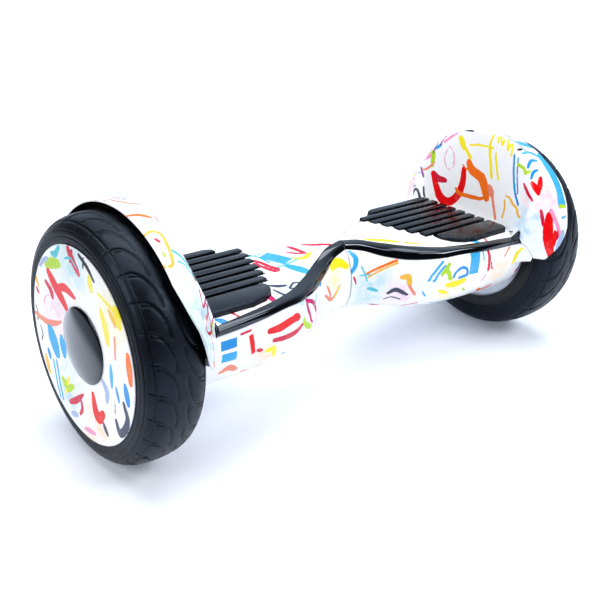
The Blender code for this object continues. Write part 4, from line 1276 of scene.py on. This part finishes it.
def tyre(label, side):
    """Tyre with a crowned tread, cut sipes, and rings on its sidewalls."""
    angle = np.linspace(0, math.pi, 84)[1:-1]
    c, s = np.cos(angle), np.sin(angle)
    tread_v = TYRE_HALF_WIDTH * np.sign(c) * np.abs(c) ** (2 / CROWN_POWER)
    tread_r = CROWN_RADIUS + (TYRE_RADIUS - CROWN_RADIUS) * s ** (2 / CROWN_POWER)
    wall_r, wall_v = np.array(SIDEWALL).T
    inside_r, inside_v = np.array(TYRE_INSIDE).T
    profile_r = np.concatenate([wall_r, tread_r, wall_r[::-1], inside_r])
    profile_v = np.concatenate([wall_v, tread_v, -wall_v[::-1], inside_v])
    tread = slice(len(wall_r), len(wall_r) + len(tread_r))
    repeat_steps = TREAD_STEPS // TREAD_REPEATS
    run, across = np.meshgrid(np.arange(repeat_steps) / repeat_steps, tread_v)
    distance = np.full((len(profile_r), repeat_steps), FAR_FROM_GROOVE)
    distance[tread] = groove_distance(run, across)
    on_wall = np.abs(profile_v)[:, None] > 0.0300
    for ring in SIDEWALL_RINGS:
        close = np.abs(profile_r - ring)[:, None] - 0.0003
        distance = np.minimum(distance, np.where(on_wall, close, FAR_FROM_GROOVE))
    distance = np.tile(distance, TREAD_REPEATS)
    theta = np.arange(TREAD_STEPS) / TREAD_STEPS * 2 * math.pi
    lean = (profile_v / TYRE_HALF_WIDTH)[:, None]
    sink = GROOVE_DEPTH * (1 - smooth_step((distance + 0.0004) / 0.0010))
    r = profile_r[:, None] - sink * (1 - 0.5 * lean ** 2)
    v = profile_v[:, None] - sink * 0.5 * lean
    points = np.stack([side * (WHEEL_U + v), -r * np.cos(theta), AXLE_Z + r * np.sin(theta)], -1)
    name = label + "_treaded_tyre"
    mesh = grid_mesh(name, points, flip=side < 0, ring=True)
    face_outwards(mesh)
    # The groove attribute holds the distance to the nearest groove or ring in mm; the tread's
    # material paints shade from it and bumps a lip.
    attribute = mesh.attributes.new("groove", "FLOAT", "POINT")
    attribute.data.foreach_set("value", distance.ravel() * 1000)
    place(add_object(name, mesh, TYRE_RUBBER), label + "_wheel", [label + "_tyre"], "tyre")


def printed_disc(label, side, centre, axis):
    """The hub's cover: a shallow dish with the print on its face."""
    edge, face = COVER_RADIUS, COVER_FACE
    radii = np.linspace(COVER_BACK_RADIUS, edge - 0.0012, 66)
    dish = DISH * (1 - smooth_step((radii - CAP_RADIUS) / 0.052))
    profile = [(edge - 0.0008, face - 0.0001), (edge - 0.0002, face - 0.0004),
               (edge, face - 0.0008), (edge - 0.0002, face - 0.0014),
               (0.0900, face - 0.0016), (COVER_BACK_RADIUS, face - 0.0046)]
    profile += [(r, face - d) for r, d in zip(radii, dish)]
    disc = lathe(label + "_printed_disc", profile, centre, axis, 480, PRINTED, sharp_angle=25)

    def to_world(y, z):
        x = np.full(len(y), side * (WHEEL_U + face))
        return np.stack([x, y / 1000, AXLE_Z + z / 1000], -1)

    strokes = read_strokes(DISC_PRINT)
    if side > 0:
        strokes = [(kind, next_ink(colour, 4), width, [(-z, y) for y, z in path])
                   for kind, colour, width, path in strokes]
    washes = [(colour, DISC_WASH_RADIUS, to_world(np.array([y]), np.array([z]))[0])
              for colour, y, z in DISC_WASHES]
    paint(disc.data, laid_on(strokes, to_world), washes)
    place(disc, label + "_wheel", [label + "_hub_cover"], "shell")


def gloss_dome(label, centre, axis):
    base = COVER_FACE - DISH + 0.0002
    profile = [(0.0, base + CAP_HEIGHT)]
    for turn in np.linspace(0, 1, 26)[1:] * math.pi / 2:
        profile.append((CAP_RADIUS * math.sin(turn),
                        base + 0.0008 + (CAP_HEIGHT - 0.0008) * math.cos(turn) ** 1.25))
    profile += [(CAP_RADIUS, base + 0.0003), (CAP_RADIUS - 0.0004, base), (0.0, base)]
    cap = lathe(label + "_gloss_dome", profile, centre, axis, 120, PIANO_BLACK, sharp_angle=45)
    place(cap, label + "_wheel", [label + "_centre_cap"], "gloss_black")


# (radius, height along the axis), from the rim in
MOTOR_COVER = ((0.0877, -0.0280), (0.0877, -0.0345), (0.0871, -0.0350), (0.0845, -0.0350),
               (0.0838, -0.0345), (0.0830, -0.0322), (0.0600, -0.0322), (0.0590, -0.0330),
               (0.0420, -0.0330), (0.0410, -0.0322), (0.0230, -0.0322), (0.0215, -0.0345),
               (0.0140, -0.0345), (0.0104, -0.0345), (0.0100, -0.0341), (0.0100, -0.0320),
               (0.0168, -0.0318), (0.0168, -0.0225), (0.0220, -0.0225), (0.0220, -0.0280))
BOLT_CIRCLE = 0.074
BOLT_HEAD = ((0.0, 0.0022), (0.0026, 0.0022), (0.0030, 0.0018), (0.0030, 0.0), (0.0, 0.0))


def motor_cover(label, side, centre, axis):
    cover = lathe(label + "_motor_side_cover", MOTOR_COVER, centre, axis, 128, MOTOR_PAINT,
                  sharp_angle=30)
    place(cover, label + "_wheel", [label + "_motor_cover"], "silver_aluminium")
    for k in range(6):
        angle = math.radians(60 * k + 15)
        at = Vector((side * WHEEL_U - side * 0.0322, BOLT_CIRCLE * math.cos(angle),
                     AXLE_Z + BOLT_CIRCLE * math.sin(angle)))
        bolt = lathe("%s_motor_bolt_%d" % (label, k), BOLT_HEAD, at, (-side, 0, 0), 20, ZINC)
        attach(bolt, label + "_wheel")


def wheel(label, side):
    centre, axis = (side * WHEEL_U, 0, AXLE_Z), (side, 0, 0)
    tyre(label, side)
    printed_disc(label, side, centre, axis)
    gloss_dome(label, centre, axis)
    motor_cover(label, side, centre, axis)


# ---- rear controls, on the right half ----
SOCKET_U = 0.150
BUTTON_U = 0.190
CONTROL_Z = 0.108


def control_holes():
    return [drill(radius, 0.012, -0.016, (u, 0.086, CONTROL_Z), (0, 1, 0), 48)
            for u, radius in ((SOCKET_U, 0.0098), (BUTTON_U, 0.0103))]


def turned_control(name, profile, place_at, material):
    return lathe(name, profile, place_at, (0, 1, 0), 64, material)


def rear_controls():
    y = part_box("charge_port_cap")[0][1]
    flap = turned_control(
        "charging_port_flap",
        [(0.0, 0.0015), (0.0080, 0.0016), (0.0094, 0.0021), (0.0104, 0.0021),
         (0.0110, 0.0016), (0.0110, 0.0004), (0.0106, 0.0), (0.0, 0.0)],
        (SOCKET_U, y, CONTROL_Z), SOFT_RUBBER)
    tools = []
    for name, outline, low_z, high_z, bevel in (
            ("strap", rectangle(0.004, 0.0, 0.0020), 0.009, 0.0150, 0.0005),
            ("tab", rectangle(0.003, 0.0004, 0.0017), -0.0132, -0.0095, 0.0004)):
        tool = prism(name, outline, CONTROL_Z + low_z, CONTROL_Z + high_z)
        tool.data.transform(Matrix.Translation((SOCKET_U, y, 0)))
        add_bevel(tool, bevel)
        bake_modifiers(tool)
        tools.append(tool)
    boolean(flap, tools, "UNION")
    place(flap, "charge_cap", ["charge_port_cap"], "soft_rubber")

    low, high = (corner[1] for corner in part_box("power_button_bezel"))
    bezel = turned_control(
        "power_button_ring",
        [(0.0100, high - 0.0009), (0.0100, low), (0.0076, low), (0.0076, high - 0.0014),
         (0.0080, high - 0.0004), (0.0086, high), (0.0092, high), (0.0098, high - 0.0003)],
        (BUTTON_U, 0, CONTROL_Z), PIANO_BLACK)
    place(bezel, "right_half", ["power_button_bezel"], "gloss_black")
    low, high = (corner[1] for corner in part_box("power_button"))
    button = turned_control(
        "power_button_cap",
        [(0.0, high - 0.0006), (0.0040, high - 0.0005), (0.0060, high - 0.0001),
         (0.0067, high), (0.0071, high - 0.0004), (0.0072, high - 0.0010), (0.0072, low),
         (0.0, low)],
        (BUTTON_U, 0, CONTROL_Z), STEEL)
    place(button, "power_button", ["power_button"], "steel")


# ---- floor, light and camera ----
def floor():
    """Plain pale floor with a bluish glow of painted light, faint near the board, where it lifts
    the shadows, and stronger with distance; it darkens beyond the sweep's left end.
    """
    n = Nodes.named("pale_floor")
    pale = n.mix(n.noise(1.6), linear(243, 247, 254), linear(248, 250, 255))
    x = n.axes()[0]
    bright = n.maths("ADD", n.spread(x, -0.60, -0.46, 0.0, 0.72),
                     n.spread(x, -1.9, -0.58, 0.0, 0.28))
    distance = n.add("ShaderNodeVectorMath", {0: n.position}, operation="LENGTH")
    # Painted light: the floor's own glow, weakest near the board and strongest far off, so the far
    # floor reads white.
    glow = n.spread(distance.outputs["Value"], 0.35, 1.20, 0.16, 0.80)
    n.gloss(3.0, 0.55, 0.65, detail=2.0)
    n.set(Base_Color=n.mix(bright, linear(84, 88, 96), pale), Specular_IOR_Level=0.2,
          Emission_Color=(0.80, 0.86, 1.0, 1.0),
          Emission_Strength=n.maths("MULTIPLY", glow, bright))
    bm = bmesh.new()
    bmesh.ops.create_grid(bm, x_segments=8, y_segments=8, size=9.0)
    add_object("floor", mesh_of(bm, "floor"), n.material)


def area_light(name, where, towards, size, energy):
    data = bpy.data.lights.new(name, "AREA")
    data.shape = "RECTANGLE"
    data.size, data.size_y = size
    data.energy = energy
    obj = bpy.data.objects.new(name, data)
    COLLECTION.objects.link(obj)
    obj.location = where
    obj.rotation_euler = (Vector(towards) - Vector(where)).to_track_quat("-Z", "Y").to_euler()


def studio_world():
    """Dark room with one bright side, behind the board."""
    world = bpy.data.worlds.new("studio")
    bpy.context.scene.world = world
    n = Nodes(world, "Background", "Generated")
    facing = n.add("ShaderNodeVectorMath", {0: n.position, 1: (0.75, 0.60, 0.28)},
                   operation="DOT_PRODUCT")
    n.set(Color=(0.72, 0.84, 1.0, 1.0),
          Strength=n.spread(facing.outputs["Value"], 0.35, 0.90, 0.08, 0.85))


def lights():
    view = bpy.context.scene.view_settings
    view.view_transform = "Standard"
    view.look = "Medium High Contrast"
    studio_world()
    area_light("overhead_softbox", (0.1, 0.3, 2.4), (0, 0, 0.1), (2.6, 2.2), 46)
    area_light("left_softbox", (-2.2, 0.1, 1.3), (0, 0, 0.1), (1.6, 1.4), 26)
    area_light("front_softbox", (1.0, -1.6, 1.9), (0, 0, 0.15), (1.3, 0.8), 25)


CAMERA_PLACE = (-0.6868, -0.7444, 0.5449)
CAMERA_YAW = 40.68
CAMERA_PITCH = 23.94
CAMERA_ROLL = 2.49
CAMERA_LENS = 56.27
CAMERA_SHIFT = (0.0015, -0.0040)


def camera():
    """Above the near wheel's front corner, looking along the board."""
    yaw, pitch, roll = (math.radians(a) for a in (CAMERA_YAW, CAMERA_PITCH, CAMERA_ROLL))
    forward = Vector((math.cos(pitch) * math.sin(yaw), math.cos(pitch) * math.cos(yaw),
                      -math.sin(pitch)))
    right = forward.cross(Vector((0, 0, 1))).normalized()
    up = right.cross(forward)
    right, up = (right * math.cos(roll) + up * math.sin(roll),
                 up * math.cos(roll) - right * math.sin(roll))
    data = bpy.data.cameras.new("camera")
    data.sensor_width = 36.0
    data.lens = CAMERA_LENS
    data.shift_x, data.shift_y = CAMERA_SHIFT
    obj = bpy.data.objects.new("camera", data)
    COLLECTION.objects.link(obj)
    turn = Matrix((right, up, -forward)).transposed().to_4x4()
    obj.matrix_world = Matrix.Translation(CAMERA_PLACE) @ turn
    bpy.context.scene.camera = obj


def build():
    dress_cad_nodes()
    for label, side in SIDES:
        strokes, washes = half_print(label, side)
        upper_shell(label, side, strokes, washes)
        lower_shell(label, side, strokes, washes)
        for where in ("front", "rear"):
            trim_strip(label, side, where)
        foot_pad(label, side)
        wheel(label, side)
    rear_controls()
    floor()
    lights()
    camera()


build()
